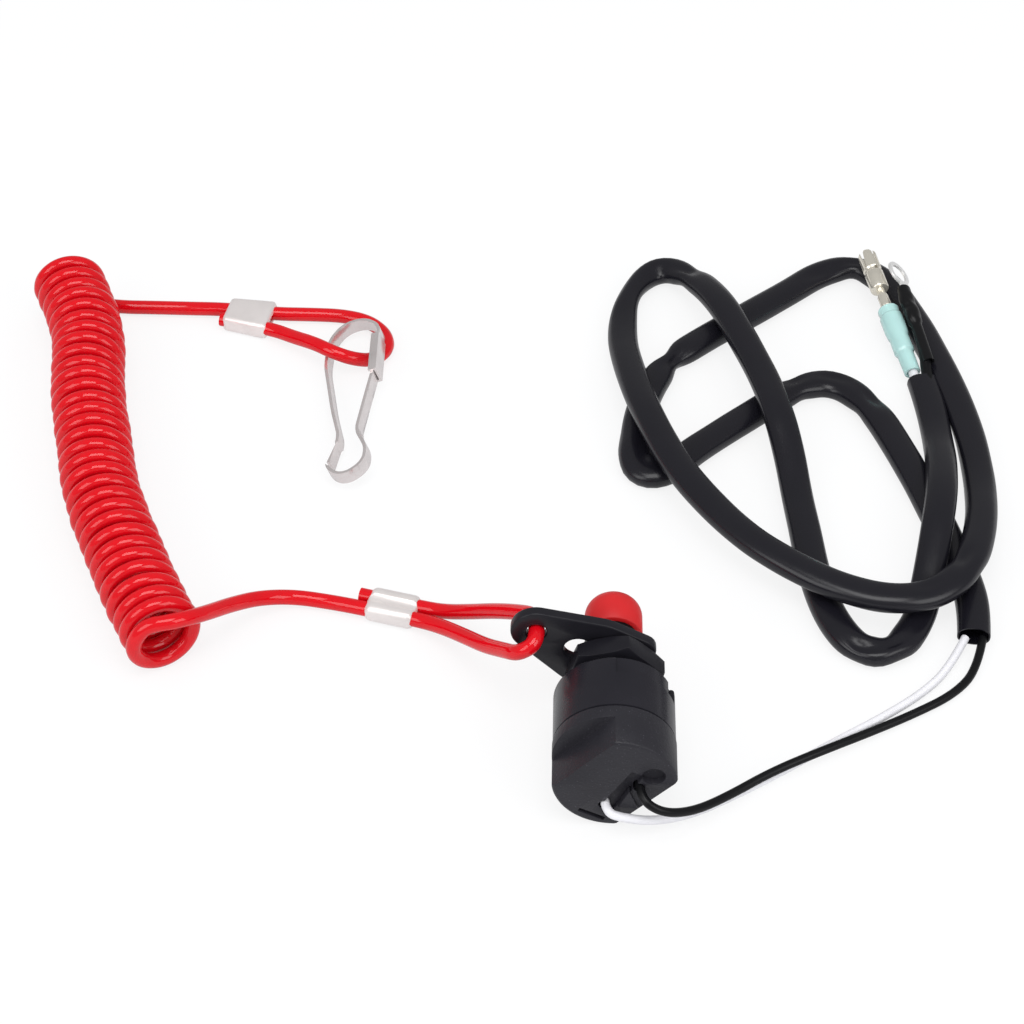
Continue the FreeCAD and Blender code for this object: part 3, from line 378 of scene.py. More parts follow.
sleevePath = [
    (0.0915, 0.033, -0.0115), (0.0925, 0.041, -0.0115), (0.0918, 0.052, -0.0115),
    (0.0885, 0.067, -0.0115), (0.084, 0.084, -0.0115), (0.0785, 0.103, -0.0115), (0.072, 0.12, -0.0115),
    (0.0625, 0.13, -0.0115), (0.0515, 0.127, -0.0115), (0.0405, 0.117, -0.0115),
    (0.0305, 0.108, -0.0115), (0.0215, 0.0995, -0.0115), (0.0155, 0.092, -0.0115),
    (0.0086, 0.0915, -0.0115), (0.0066, 0.099, -0.0115), (0.0074, 0.1115, -0.0115),
    (0.0105, 0.125, -0.0115), (0.0165, 0.1375, -0.0115), (0.0275, 0.148, -0.0115),
    (0.0395, 0.158, -0.0115), (0.051, 0.168, -0.0115), (0.0615, 0.1775, -0.0115),
    (0.072, 0.182, -0.0115), (0.0805, 0.1745, -0.0115), (0.0865, 0.1595, -0.0115),
    (0.0915, 0.1425, -0.0115), (0.0958, 0.1245, -0.0115), (0.0985, 0.107, -0.0115),
    (0.099, 0.0895, -0.0115), (0.0972, 0.071, -0.0076), (0.092, 0.051, -0.0045),
    (0.082, 0.0405, -0.0045), (0.07, 0.0385, -0.0045), (0.057, 0.043, -0.0045), (0.045, 0.051, -0.0045),
    (0.034, 0.061, -0.0045), (0.024, 0.075, -0.0045), (0.0155, 0.091, -0.0045),
    (0.0095, 0.1085, -0.0045), (0.0052, 0.1285, -0.0074), (0.003, 0.149, -0.0115),
    (0.0055, 0.168, -0.0115), (0.0145, 0.1795, -0.0115), (0.024, 0.172, -0.0086),
    (0.031, 0.1565, -0.0045), (0.037, 0.14, -0.0045), (0.042, 0.124, -0.0045), (0.0455, 0.1085, -0.0045),
    (0.048, 0.097, -0.0086), (0.0495, 0.0845, -0.0115), (0.051, 0.0695, -0.0115),
    (0.0525, 0.0535, -0.0115), (0.0555, 0.0385, -0.0115), (0.062, 0.027, -0.0115),
    (0.071, 0.027, -0.0115), (0.0775, 0.0365, -0.0115), (0.0805, 0.047, -0.0115),
    (0.0828, 0.057, -0.0078), (0.085, 0.0675, -0.0045), (0.087, 0.079, -0.0045),
    (0.0886, 0.0925, -0.0074), (0.0892, 0.107, -0.0115), (0.0886, 0.12, -0.0115),
    (0.0872, 0.1305, -0.0115)]

whiteWirePath = [
    (-0.00231, -0.0235, -0.00734), (-0.00231, -0.0297, -0.00734), (0.0026, -0.0303, -0.0088),
    (0.0097, -0.0291, -0.0112), (0.019, -0.0249, -0.0134), (0.0303, -0.0179, -0.0137),
    (0.0425, -0.0098, -0.0137), (0.054, -0.0015, -0.0137), (0.066, 0.0065, -0.0137),
    (0.077, 0.015, -0.0137), (0.0845, 0.0235, -0.0137), (0.0894, 0.033, -0.0123)]

blackWirePath = [
    (0.00571, -0.0235, -0.00083), (0.00571, -0.0305, -0.00083), (0.011, -0.0326, -0.0039),
    (0.0185, -0.0288, -0.0078), (0.027, -0.0216, -0.0108), (0.038, -0.0133, -0.0112),
    (0.05, -0.0066, -0.0113), (0.062, 0.0009, -0.013), (0.074, 0.008, -0.0137), (0.085, 0.015, -0.0137),
    (0.0916, 0.0235, -0.0137), (0.0938, 0.033, -0.0123)]


def threaded(name, points, diameter=0.0, steps=8):  # one smooth spline through a route's control points
    curve = bpy.data.curves.new(name, "CURVE")
    curve.dimensions = "3D"
    curve.resolution_u = steps
    curve.bevel_depth = diameter / 2
    curve.bevel_resolution = 5
    curve.use_fill_caps = diameter > 0
    spline = curve.splines.new("NURBS")
    spline.points.add(len(points) - 1)
    for knot, point in zip(spline.points, points):
        knot.co = (*point, 1.0)
    spline.order_u = 3
    spline.use_endpoint_u = True
    spline.use_smooth = True
    piece = bpy.data.objects.new(name, curve)
    bpy.context.scene.collection.objects.link(piece)
    return piece


def followed(points, spacing):  # evenly spaced points read from the smooth line
    guide = threaded("guide", points, steps=12)
    mesh = bpy.data.meshes.new_from_object(guide)
    line = [corner.co.copy() for corner in mesh.vertices]
    bpy.data.objects.remove(guide)
    bpy.data.meshes.remove(mesh)
    reached = [0.0]
    for before, after in zip(line, line[1:]):
        reached.append(reached[-1] + (after - before).length)
    count = max(2, round(reached[-1] / spacing))
    even = []
    number = 0
    for step in range(count + 1):
        distance = reached[-1] * step / count
        while number < len(line) - 2 and reached[number + 1] < distance:
            number += 1
        share = (distance - reached[number]) / (reached[number + 1] - reached[number])
        even.append(line[number].lerp(line[number + 1], share))
    return even, reached[-1]


coil = {"turns": 30.5, "radius": 0.0082, "perTurn": 12, "height": -0.0046, "loose": 0.00012,
        "share": 0.966}  # what the spline's turns keep of their control points' radius


def coilTurns():
    middle = followed([(x, y, coil["height"]) for x, y in reversed(coilPath)], 0.0005)[0]
    count = round(coil["turns"] * coil["perTurn"])
    radius = coil["radius"] / coil["share"]
    turns = []
    for number in range(count + 1):
        share = number / count
        place = share * (len(middle) - 1)
        index = min(int(place), len(middle) - 2)
        centre = middle[index].lerp(middle[index + 1], place - index)
        along = (middle[min(index + 3, len(middle) - 1)] - middle[max(index - 3, 0)]).normalized()
        side = along.cross(Vector((0, 0, 1)))
        angle = math.pi / 2 + 2 * math.pi * number / coil["perTurn"]
        lap = number / coil["perTurn"]
        reach = radius + coil["loose"] * math.sin(lap * 2.3) * math.sin(lap * 0.37 + 1)  # no two turns alike
        turns.append(centre + side * (reach * math.cos(angle)) + Vector((0, 0, reach * math.sin(angle)))
                     + along * (2 * coil["loose"] * math.sin(lap * 1.7)))
    return turns


redRoute = list(reversed(clipCordPath)) + coilTurns()[1:] + hookCordPath
redCord = threaded("red_lanyard_cord", redRoute, 0.004)
finished(redCord, "cord", "lanyard", "red_cord", "lanyard_coil", "clip_cord", "hook_cord")
redLength = followed(redRoute, 0.001)[1]
print("red cord:", round(redLength, 4), "m")


# Sleeve: a flattened tube that creases where it is folded

sleeve = {"wide": 0.0085, "thick": 0.0059, "drop": 0.0003, "around": 32, "spacing": 0.0015,
          "mouth": 0.007, "lump": 0.07}

folds = [  # route point, spread along the tube, width and thickness there, dent of its top, lean in degrees
    (6, 0.0035, 0.94, 0.86, 0.30, 8), (7, 0.0050, 1.00, 0.90, 0.30, -8), (8, 0.0030, 0.90, 0.92, 0.35, 10),
    (13, 0.0060, 1.16, 1.00, 0.25, -14), (14, 0.0050, 1.14, 1.02, 0.20, 12), (17, 0.0042, 0.62, 0.95, 0.45, 24),
    (21, 0.0060, 0.96, 0.90, 0.35, 10), (22, 0.0040, 0.86, 0.95, 0.30, -12), (30, 0.0040, 0.90, 0.94, 0.35, 10),
    (31, 0.0050, 0.96, 0.95, 0.20, -8), (41, 0.0110, 0.72, 1.00, 0.00, 24), (42, 0.0080, 0.96, 0.90, 0.10, 18),
    (43, 0.0035, 0.88, 0.92, 0.40, -16), (53, 0.0034, 0.86, 1.00, 0.45, 14), (54, 0.0034, 0.82, 1.00, 0.40, -16),
    (55, 0.0050, 0.94, 0.95, 0.20, 8)]


def foldAt(line, number):  # the sum of the folds near one station
    wide, thick, dent, lean = 1.0, 1.0, 0.0, 0.0
    for point, spread, narrow, flat, deep, tilt in folds:
        near = math.exp(-((line[number] - Vector(sleevePath[point])).length / spread) ** 2)
        wide += (narrow - 1) * near
        thick += (flat - 1) * near
        dent += deep * near
        lean += tilt * near
    return wide, thick, dent, math.radians(lean)


def sleeveTube():
    line, length = followed(sleevePath, sleeve["spacing"])
    mesh = bmesh.new()
    rings = []
    last = len(line) - 1
    stations = [(0, 0.84, sleeve["mouth"]), (0, 0.90, 0.0)]  # each end is turned in as far as the mouth is deep
    stations += [(number, 1.0, 0.0) for number in range(last + 1)]
    stations += [(last, 0.90, 0.0), (last, 0.84, -sleeve["mouth"])]
    for number, shrink, slide in stations:
        along = (line[min(number + 3, last)] - line[max(number - 3, 0)]).normalized()
        side = along.cross(Vector((0, 0, 1))).normalized()
        wide, thick, dent, lean = foldAt(line, number)
        side = (Matrix.Rotation(lean, 3, along) @ side).normalized()
        up = side.cross(along)
        ring = []
        for turn in range(sleeve["around"]):
            angle = 2 * math.pi * turn / sleeve["around"]
            across = math.copysign(abs(math.cos(angle)) ** 0.9, math.cos(angle))
            rise = math.copysign(abs(math.sin(angle)) ** 0.8, math.sin(angle))
            lump = noise.noise(line[number] * 70 + side * across + up * rise)
            swell = 1 + sleeve["lump"] * lump * (0.5 + 2.0 * min(dent, 0.4))
            if rise > 0:
                rise *= 1 - dent * math.exp(-((across - 0.25) / 0.4) ** 2)
            ring.append(mesh.verts.new(line[number] + along * slide
                                       + side * (sleeve["wide"] / 2 * wide * across * shrink * swell)
                                       + up * (sleeve["thick"] / 2 * thick * rise * shrink * swell
                                               - sleeve["drop"])))
        rings.append(ring)
    for before, after in zip(rings, rings[1:]):
        for turn in range(sleeve["around"]):
            other = (turn + 1) % sleeve["around"]
            mesh.faces.new((before[turn], before[other], after[other], after[turn]))
    mesh.faces.new(rings[0][::-1])
    mesh.faces.new(rings[-1])
    data = bpy.data.meshes.new("wire_sleeve_tube")
    mesh.to_mesh(data)
    mesh.free()
    piece = bpy.data.objects.new("wire_sleeve_tube", data)
    bpy.context.scene.collection.objects.link(piece)
    tidy(piece)
    return piece, line, length


sleeveTubing, sleeveLine, sleeveLength = sleeveTube()
finished(sleeveTubing, "sleeve", "switch", "sleeve_vinyl", "wire_sleeve", smooth=50)
print("sleeve:", round(sleeveLength, 4), "m")

whiteWire = threaded("white_switch_wire", whiteWirePath, 0.0022)
blackWire = threaded("black_switch_wire", blackWirePath, 0.0022)
finished(whiteWire, "white", "switch", "white_insulation", "white_wire")
finished(blackWire, "black", "switch", "black_insulation", "black_wire")


# Housing: turned, with its inside, a shallow step with a notch, and a threaded neck

housing = {"radius": 0.01465, "back": -0.0156, "cavity": 0.01295, "front": -0.0022, "neck": 0.008,
           "neckEnd": 0.0104, "bore": 0.00336, "seal": 0.0046, "sealDepth": 0.0015, "edge": 0.00018,
           "step": 0.0006, "stepLength": 0.005, "stepDegrees": 72, "notch": 0.003, "notchDepth": 0.0013,
           "threadStart": 0.0012, "threadDepth": 0.0005, "pitch": 0.0013, "turns": 7}


def makeHousing():
    radius, back, front, end = housing["radius"], housing["back"], housing["front"], housing["neckEnd"]
    cavity, bore, seal, sealFloor = housing["cavity"], housing["bore"], housing["seal"], end - housing["sealDepth"]
    neck = housing["neck"] - housing["threadDepth"]
    piece = turned("switch_housing", [
        (back, cavity), (back, radius - 0.0007), (back + 0.0004, radius), (-0.0009, radius),
        (-0.00055, radius - 0.0001), (-0.0002, radius - 0.0004), (0, radius - 0.0009), (0, neck), (end, neck),
        (end, seal), (sealFloor, seal), (sealFloor, bore), (front, bore), (front, cavity), (back, cavity)], sides=96)
    shoulder = Matrix.Translation((0, -housing["stepLength"], 0))
    height = housing["stepLength"] + past
    swing = range(0, housing["stepDegrees"] + 1, 6)
    rim = [polar(radius - housing["step"], angle) for angle in swing]
    rim += [polar(farOut, angle) for angle in reversed(swing)]
    carve(piece, outline("step", rim, height, shoulder @ acrossAxis(-90)))
    carve(piece, block("notch", (radius - housing["notchDepth"], -housing["notch"] / 2, 0),
                       (farOut, housing["notch"] / 2, height), shoulder @ acrossAxis(-18)))
    edged(piece, housing["edge"])
    start, pitch = housing["threadStart"], housing["pitch"]
    ridge = [(0, neck), (0.3, housing["neck"]), (0.45, housing["neck"]), (0.8, neck),
             (0.8, neck - 0.0003), (0, neck - 0.0003), (0, neck)]
    thread = turned("thread", [(start + share * pitch, reach) for share, reach in ridge], sides=64)
    modify(thread, "ARRAY", count=housing["turns"], use_relative_offset=False, use_constant_offset=True,
           constant_offset_displace=(0, pitch, 0))
    only(piece)
    thread.select_set(True)
    bpy.ops.object.join()
    return finished(piece, "housing", "switch", "black_plastic", "housing")


makeHousing()

cover = {"radius": 0.0148, "back": -0.0275, "front": -0.0156, "edge": 0.0007, "inside": -0.0177, "spigot": 0.01189,
         "turn": 42, "flat": 0.010, "flatDepth": 0.0082, "room": (0.0084, 0.0098), "floor": 0.0025, "roomEnd": 0.015,
         "recess": ((0.0010, -0.0061), (0.0044, 0.0085)), "recessTurn": -12,
         "slit": ((-0.003, 0.0114), (0.004, 0.0126)), "slitTurn": -14, "sunk": 0.0012,
         "holes": ((0.0032, 0.0070), (0.0048, -0.0032)), "holeRadius": 0.0014, "holeDepth": 0.006,
         "pocket": (0.0046, -0.0084), "pocketRadius": 0.0028, "pocketDepth": 0.0017,
         "wedge": ((0.0036, -0.0012), (0.0094, 0.0019), (0.0056, 0.0046)), "proud": 0.0008}


def makeCover():
    back, front, radius, inside = cover["back"], cover["front"], cover["radius"], cover["inside"]
    wide, tall = cover["room"]
    hub = 0.004  # both faces are closed inside this radius
    piece = turned("switch_cover", [
        (back, hub), (back, radius - cover["edge"]), (back + 0.0003, radius - 0.0002),
        (back + cover["edge"], radius), (front - 0.0003, radius), (front, radius - 0.0003), (front, cover["spigot"]),
        (inside, cover["spigot"]), (inside, hub)], sides=96)

    def face(turn=0):  # the flat back, with local Z into the cover
        return Matrix.Translation((0, back, 0)) @ acrossAxis(cover["turn"] + turn)

    for low, high in (((cover["flat"], -farOut, -past), (farOut, farOut, cover["flatDepth"])),
                      ((-farOut, -farOut, -past), (-cover["flat"], farOut, cover["flatDepth"])),
                      ((-wide, -tall, cover["floor"]), (wide, tall, cover["roomEnd"]))):
        carve(piece, block("cut", low, high, face()))
    for name in ("recess", "slit"):
        low, high = cover[name]
        carve(piece, block(name, (*low, -past), (*high, cover["sunk"]), face(cover[name + "Turn"])))
    holes = [(place, cover["holeRadius"], cover["holeDepth"]) for place in cover["holes"]]
    for place, size, depth in holes + [(cover["pocket"], cover["pocketRadius"], cover["pocketDepth"])]:
        carve(piece, rod(size, -past, depth, (0, 0, 1), 32, face() @ Matrix.Translation((*place, 0))))
    wedge = outline("wedge", cover["wedge"], cover["proud"] + past,
                    face() @ Matrix.Translation((0, 0, -cover["proud"])))
    carve(piece, wedge, "UNION")
    edged(piece, 0.00022)
    return finished(piece, "cover", "switch", "black_plastic", "rear_cover")


makeCover()
print("housing and cover made")

gasket = {"bore": 0.00803, "radius": 0.0126, "thick": 0.0012, "chamfer": 0.0002}


def makeGasket():
    bore, radius, thick, chamfer = gasket["bore"], gasket["radius"], gasket["thick"], gasket["chamfer"]
    piece = turned("panel_seal", [
        (0, bore), (0, radius - chamfer), (chamfer, radius), (thick - chamfer, radius), (thick, radius - chamfer),
        (thick, bore), (0, bore)])
    edged(piece, 0.00015)
    return finished(piece, "rubber", "switch", "black_rubber", "panel_gasket")


makeGasket()

nut = {"back": 0.0043, "thick": 0.0052, "flats": 0.022, "turn": -15.2, "bore": 0.00806, "mouth": 0.00926,
       "chamfer": 0.0009}


def makeNut():
    half = nut["flats"] / 2
    corner = half / math.cos(math.pi / 6)
    back, front = nut["back"], nut["back"] + nut["thick"]
    piece = outline("panel_nut", [polar(corner, 60 * side) for side in range(6)], nut["thick"],
                    Matrix.Translation((0, back, 0)) @ acrossAxis(nut["turn"]))
    barrel = turned("barrel", [  # takes the six corners off at both faces
        (back - 0.0002, 0.001), (back - 0.0002, half - 0.0003), (back + nut["chamfer"], corner + 0.0003),
        (front - nut["chamfer"], corner + 0.0003), (front + 0.0002, half - 0.0003), (front + 0.0002, 0.001),
        (back - 0.0002, 0.001)], sides=96)
    carve(piece, barrel, "INTERSECT")
    carve(piece, turned("drill", [
        (back - past, hair), (back - past, nut["mouth"]), (back + 0.0006, nut["bore"]),
        (front - 0.0005, nut["bore"]), (front + past, nut["mouth"]), (front + past, hair)], sides=64))
    edged(piece, 0.00022)
    return finished(piece, "nut", "switch", "black_plastic", "hex_nut")


makeNut()

clip = {"back": 0.0105, "thick": 0.0028, "turn": -150, "half": 0.011, "shoulder": 0.006, "reach": 0.0219,
        "nose": 0.0063, "hole": 0.0025, "slot": 0.0035, "slotEnd": 0.0102, "prong": -0.0033}


def makeClip():
    points = []

    def arc(x, y, radius, first, last, steps):
        for step in range(steps + 1):
            angle = first + (last - first) * step / steps
            points.append((x + radius * math.cos(angle), y + radius * math.sin(angle)))

    slope = math.asin((clip["half"] - clip["nose"]) / (clip["reach"] - clip["shoulder"]))
    lean = math.pi / 2 - slope
    tip = (clip["half"] - clip["slot"]) / 2
    middle = (clip["half"] + clip["slot"]) / 2
    arc(clip["reach"], 0, clip["nose"], -lean, lean, 20)
    arc(clip["shoulder"], 0, clip["half"], lean, math.pi / 2, 4)
    arc(clip["prong"], middle, tip, math.pi / 2, 1.5 * math.pi, 12)
    arc(clip["slotEnd"], 0, clip["slot"], math.pi / 2, -math.pi / 2, 14)
    arc(clip["prong"], -middle, tip, math.pi / 2, 1.5 * math.pi, 12)
    arc(clip["shoulder"], 0, clip["half"], -math.pi / 2, -lean, 4)
    placed = Matrix.Translation((0, clip["back"], 0)) @ acrossAxis(clip["turn"])
    piece = outline("lanyard_clip", points, clip["thick"], placed)
    carve(piece, rod(clip["hole"], -past, 0.004, (0, 0, 1), 40, placed @ Matrix.Translation((clip["reach"], 0, 0))))
    edged(piece, 0.0005, 3)
    return finished(piece, "clip", "lanyard", "clip_plastic", "lock_clip")


makeClip()

plunger = {"back": -0.0114, "stem": 0.0033, "bore": 0.00166, "groove": 0.0028, "grooveFrom": -0.01043,
           "grooveTo": -0.00957, "collar": 0.0077, "collarBack": 0.0134, "boss": 0.0057, "bossBack": 0.0164,
           "front": 0.0214, "pocket": 0.0044, "pocketFloor": 0.0144}


def makePlunger():
    back, stem, bore, groove = plunger["back"], plunger["stem"], plunger["bore"], plunger["groove"]
    collar, collarBack, boss, bossBack = (plunger[size] for size in ("collar", "collarBack", "boss", "bossBack"))
    front, pocket, pocketFloor = plunger["front"], plunger["pocket"], plunger["pocketFloor"]
    piece = turned("plunger", [
        (back, bore), (back, stem), (plunger["grooveFrom"], stem), (plunger["grooveFrom"], groove),
        (plunger["grooveTo"], groove), (plunger["grooveTo"], stem), (collarBack, stem),
        (collarBack, collar - 0.0003), (collarBack + 0.0003, collar), (bossBack - 0.0008, collar),
        (bossBack - 0.0002, collar - 0.0003), (bossBack, collar - 0.0008), (bossBack, boss), (front - 0.0003, boss),
        (front, boss - 0.0003), (front, pocket), (pocketFloor, pocket), (pocketFloor, bore), (back, bore)], sides=64)
    edged(piece, 0.00015)
    return finished(piece, "stem", "switch", "black_plastic", "plunger_stem")


makePlunger()

cap = {"skirt": 0.0196, "ceiling": 0.0256, "inside": 0.0059, "rod": 0.00163, "radius": 0.0072, "dome": 0.0262,
       "round": 0.0054}


def makeCap():
    skirt, ceiling, radius, dome, bend = cap["skirt"], cap["ceiling"], cap["radius"], cap["dome"], cap["round"]
    arch = []
    for angle in range(8, 91, 8):
        out, up = polar(bend, angle)
        arch.append((dome + up, radius - bend + out))
    piece = turned("push_button", [
        (ceiling, cap["rod"]), (ceiling, cap["inside"]), (skirt, cap["inside"]), (skirt, radius - 0.0002),
        (skirt + 0.0002, radius), (dome, radius), *arch, (dome + bend, hair)])
    edit(piece)
    pick(piece, lambda place: place.y > dome + bend - 0.00001 and place.xz.length < 2 * hair, "verts")
    bpy.ops.mesh.merge(type="CENTER")
    idle()
    return finished(piece, "cap", "button", "red_plastic", "button_cap", smooth=50)


makeCap()
print("nut, clip and button made")


# Ferrules: pressed metal tubes over both passes of the cord

ferrule = {"length": 0.0134, "thick": 0.0052, "rim": 0.0006, "mouth": 0.0016, "roller": 0.0022}
ferrules = {  # width at each end, rounding of the long edges, depth of the valley pressed along each face
    "clip_loop_ferrule": {"node": "clip_ferrule", "centre": (-0.056, 0.03995, -0.0122), "turn": -14.9,
                          "widths": (0.0093, 0.0093), "round": 0.0019, "steps": 7, "edge": 0.0002,
                          "valley": 0.0007, "gap": 0.0},
    "hook_loop_ferrule": {"node": "hook_ferrule", "centre": (-0.1037, 0.1546, -0.0122), "turn": -11.5,
                          "widths": (0.0099, 0.0124), "round": 0.0013, "steps": 4, "edge": 0.00012,
                          "valley": 0.0, "gap": 0.000001},
}


def makeFerrule(name, own):
    idle()
    bpy.ops.mesh.primitive_cube_add(size=1, scale=(ferrule["length"], 1, ferrule["thick"]))
    piece = named(name)
    settle(piece)
    for corner in piece.data.vertices:
        corner.co.y *= own["widths"][0] if corner.co.x < 0 else own["widths"][1]
    edit(piece, "EDGE")
    pick(piece, lambda a, b: abs(a.x - b.x) > 0.01, "edges")
    bpy.ops.mesh.bevel(offset=own["round"], segments=own["steps"], affect="EDGES")
    edit(piece, "FACE")
    for end in (-1, 1):
        pick(piece, lambda place, normal: normal.x * end > 0.9)
        bpy.ops.mesh.inset(thickness=ferrule["rim"])
        bpy.ops.mesh.extrude_region_move(TRANSFORM_OT_translate={"value": (-end * ferrule["mouth"], 0, 0)})
    idle()
    if own["valley"]:
        height = ferrule["thick"] / 2 + ferrule["roller"] - own["valley"]
        for side in (1, -1):
            carve(piece, rod(ferrule["roller"], -0.01, 0.01, (1, 0, 0), 48,
                             Matrix.Translation((0, 0, side * height))))
    settle(piece, Matrix.Translation(own["centre"]) @ Matrix.Rotation(math.radians(own["turn"]), 4, "Z"))
    tidy(piece)
    edged(piece, own["edge"], gap=own["gap"])
    return finished(piece, "ferrule", "lanyard", "ferrule_metal", own["node"])


clipFerrule, hookFerrule = (makeFerrule(name, own) for name, own in ferrules.items())

hook = {"strip": 0.0009, "width": 0.0038, "bend": 0.0026, "origin": (-0.0795, 0.118, -0.01285), "lean": -20,
        "shank": 0.01485, "grip": 0.00048, "fold": 0.0007, "channel": (0.007, 0.0226), "halfWide": 0.0026,
        "halfRoom": 0.00193}  # the channel's sheet, "fold" thick, holds the shank with "grip" on each side
shankPath = [(0.01485, 0.0215), (0.01485, 0.008), (0.0132, -0.003), (0.0114, -0.0162), (0.0148, -0.0234),
             (0.0144, -0.0296), (0.009, -0.0329), (0.0046, -0.0300), (0.0038, -0.0276)]
springPath = [(0.0041, -0.0266), (0.0065, -0.0172), (0.0037, -0.0055), (0.0, 0.0148), (0.0004, 0.0255),
              (0.0042, 0.031), (0.0104, 0.0314), (0.0156, 0.0266), (0.0154, 0.022)]


def bentStrip(name, path):  # a strip on edge, its corners rounded
    first, last = Vector(path[0]), Vector(path[-1])
    idle()
    bpy.ops.mesh.primitive_circle_add(vertices=len(path), radius=0.01)
    piece = named(name)
    for corner, (x, y) in zip(piece.data.vertices, path):
        corner.co = (x, y, -hook["width"] / 2)
    edit(piece, "EDGE")
    pick(piece, lambda a, b: max((a.xy - first).length, (b.xy - last).length) < 1e-6
         or max((b.xy - first).length, (a.xy - last).length) < 1e-6, "edges")
    bpy.ops.mesh.delete(type="EDGE")
    edit(piece, "VERT")
    pick(piece, lambda place: min((place.xy - first).length, (place.xy - last).length) > 1e-5, "verts")
    bpy.ops.mesh.bevel(offset=hook["bend"], segments=6, affect="VERTICES", clamp_overlap=True)
    edit(piece, "EDGE")
    bpy.ops.mesh.select_all(action="SELECT")
    bpy.ops.mesh.extrude_region_move(TRANSFORM_OT_translate={"value": (0, 0, hook["width"])})
    idle()
    modify(piece, "SOLIDIFY", thickness=hook["strip"], offset=0)
    return piece


def makeHook():
    placed = Matrix.Translation(hook["origin"]) @ Matrix.Rotation(math.radians(hook["lean"]), 4, "Y")
    shank = bentStrip("hook_shank", shankPath)
    springLeg = bentStrip("hook_spring_leg", springPath)
    inner, outer = hook["shank"] - hook["grip"], hook["shank"] + hook["grip"]
    low, high = hook["channel"]
    channel = block("channel", (inner - hook["fold"], low, -hook["halfWide"]),
                    (outer + hook["fold"], high, hook["halfWide"]))
    carve(channel, block("room", (inner - 0.004, low - past, -hook["halfRoom"]),
                         (outer, high + 0.0014, hook["halfRoom"])))
    carve(springLeg, channel, "UNION")
    for piece, node in ((shank, "snap_hook"), (springLeg, "hook_spring_strip")):
        settle(piece, placed)
        tidy(piece, outward=False)
        edged(piece, 0.00016, gap=None)  # its edges are bright because the bevel's narrow faces stay
        finished(piece, "steel", "lanyard", "plated_steel", node)


makeHook()
print("hook and ferrules made")


# Terminals

bulletPlace = between((0.0847, 0.1332, -0.0110), (0.0746, 0.1766, -0.0044))
ringPlace = between((0.0891, 0.1350, -0.0084), (0.0827, 0.1685, -0.0032), 52)

bulletCover = turned("bullet_sleeve", [
    (0, 0.0016), (0, 0.0023), (0.0070, 0.0024), (0.0078, 0.0029), (0.0130, 0.0028), (0.0138, 0.0031),
    (0.0160, 0.0033), (0.0208, 0.0033), (0.0214, 0.0029), (0.0236, 0.0031), (0.024, 0.0029), (0.024, 0.0025),
    (0.0101, 0.0022), (0.0079, 0.0016), (0, 0.0016)], (1, 0, 0), 40)
settle(bulletCover, bulletPlace)
edged(bulletCover, 0.00012)
finished(bulletCover, "clear", "switch", "clear_cover", "bullet_cover", smooth=50)

socket = {"mouth": 0.046, "bead": 0.0388, "radius": 0.0027, "bore": 0.00205, "gap": 0.0009}


def makeSocket():
    radius, bead, mouth = socket["radius"], socket["bead"], socket["mouth"]
    piece = turned("bullet_socket", [
        (0.012, hair), (0.012, 0.0011), (0.0246, 0.0011), (0.0252, 0.0016), (0.0290, 0.0016), (0.0300, 0.0012),
        (0.0318, 0.0012), (0.0318, 0.0025), (0.0322, radius), (bead - 0.0008, radius),
        (bead - 0.0003, radius - 0.0004), (bead + 0.0003, radius - 0.0004), (bead + 0.0008, radius),
        (mouth - 0.0010, radius), (mouth, radius - 0.0005), (mouth, socket["bore"]), (0.0355, socket["bore"]),
        (0.0355, hair)], (1, 0, 0), 48)
    for turn in (-42, 42):  # two open seams of the rolled sheet, wider at the mouth
        seam = outline("seam", [(bead + 0.0009, -0.00012), (mouth + 0.001, -socket["gap"]),
                                (mouth + 0.001, socket["gap"]), (bead + 0.0009, 0.00012)], 0.003,
                       Matrix.Rotation(math.radians(turn), 4, "X") @ Matrix.Translation((0, 0, 0.0012)))
        carve(piece, seam)
    carve(piece, block("window", (bead - 0.0006, -0.0005, 0.0012), (bead + 0.0006, 0.0005, 0.004),
                       Matrix.Rotation(math.radians(26), 4, "X")))
    settle(piece, bulletPlace)
    edged(piece, 0.0001)
    return finished(piece, "terminal", "switch", "plated_steel", "bullet_terminal")


bullet = makeSocket()


shrunk = {"length": 0.028, "bore": 0.0012, "radius": 0.0016, "swell": 0.0005, "from": 0.012, "pinch": 0.0196,
          "crumple": 0.22}


def makeBoot():  # shrunk over the crimp, and crumpled where it grips the terminal
    bore, radius, length = shrunk["bore"], shrunk["radius"], shrunk["length"]
    piece = turned("ring_sleeve", [(0, bore), (0, radius)] + [
        (0.0005 * step, radius + shrunk["swell"] * min(1, max(0, (step - 27) / 3))) for step in range(2, 55)]
        + [(length - 0.0001, radius + 0.0002), (length, bore + 0.0001), (0, bore)], (1, 0, 0), 40)
    for corner in piece.data.vertices:
        if shrunk["from"] < corner.co.x < length + 0.0001 and corner.co.yz.length > bore + 0.0002:
            grip = min(1, (corner.co.x - shrunk["from"]) / 0.003)
            crumple = shrunk["crumple"] * noise.noise(corner.co * 300)
            pinch = math.exp(-((corner.co.x - shrunk["pinch"]) / 0.0012) ** 2)
            corner.co.y *= 1 + grip * (crumple + 0.16 - 0.26 * pinch)
            corner.co.z *= 1 + grip * (crumple - 0.06 + 0.10 * pinch)
    settle(piece, ringPlace)
    return finished(piece, "boot", "switch", "black_insulation", "ring_boot", smooth=60)


boot = makeBoot()

ringEye = {"hole": 0.00285, "radius": 0.0041, "half": 0.00035, "centre": 0.0336, "tang": (0.0255, 0.0305)}


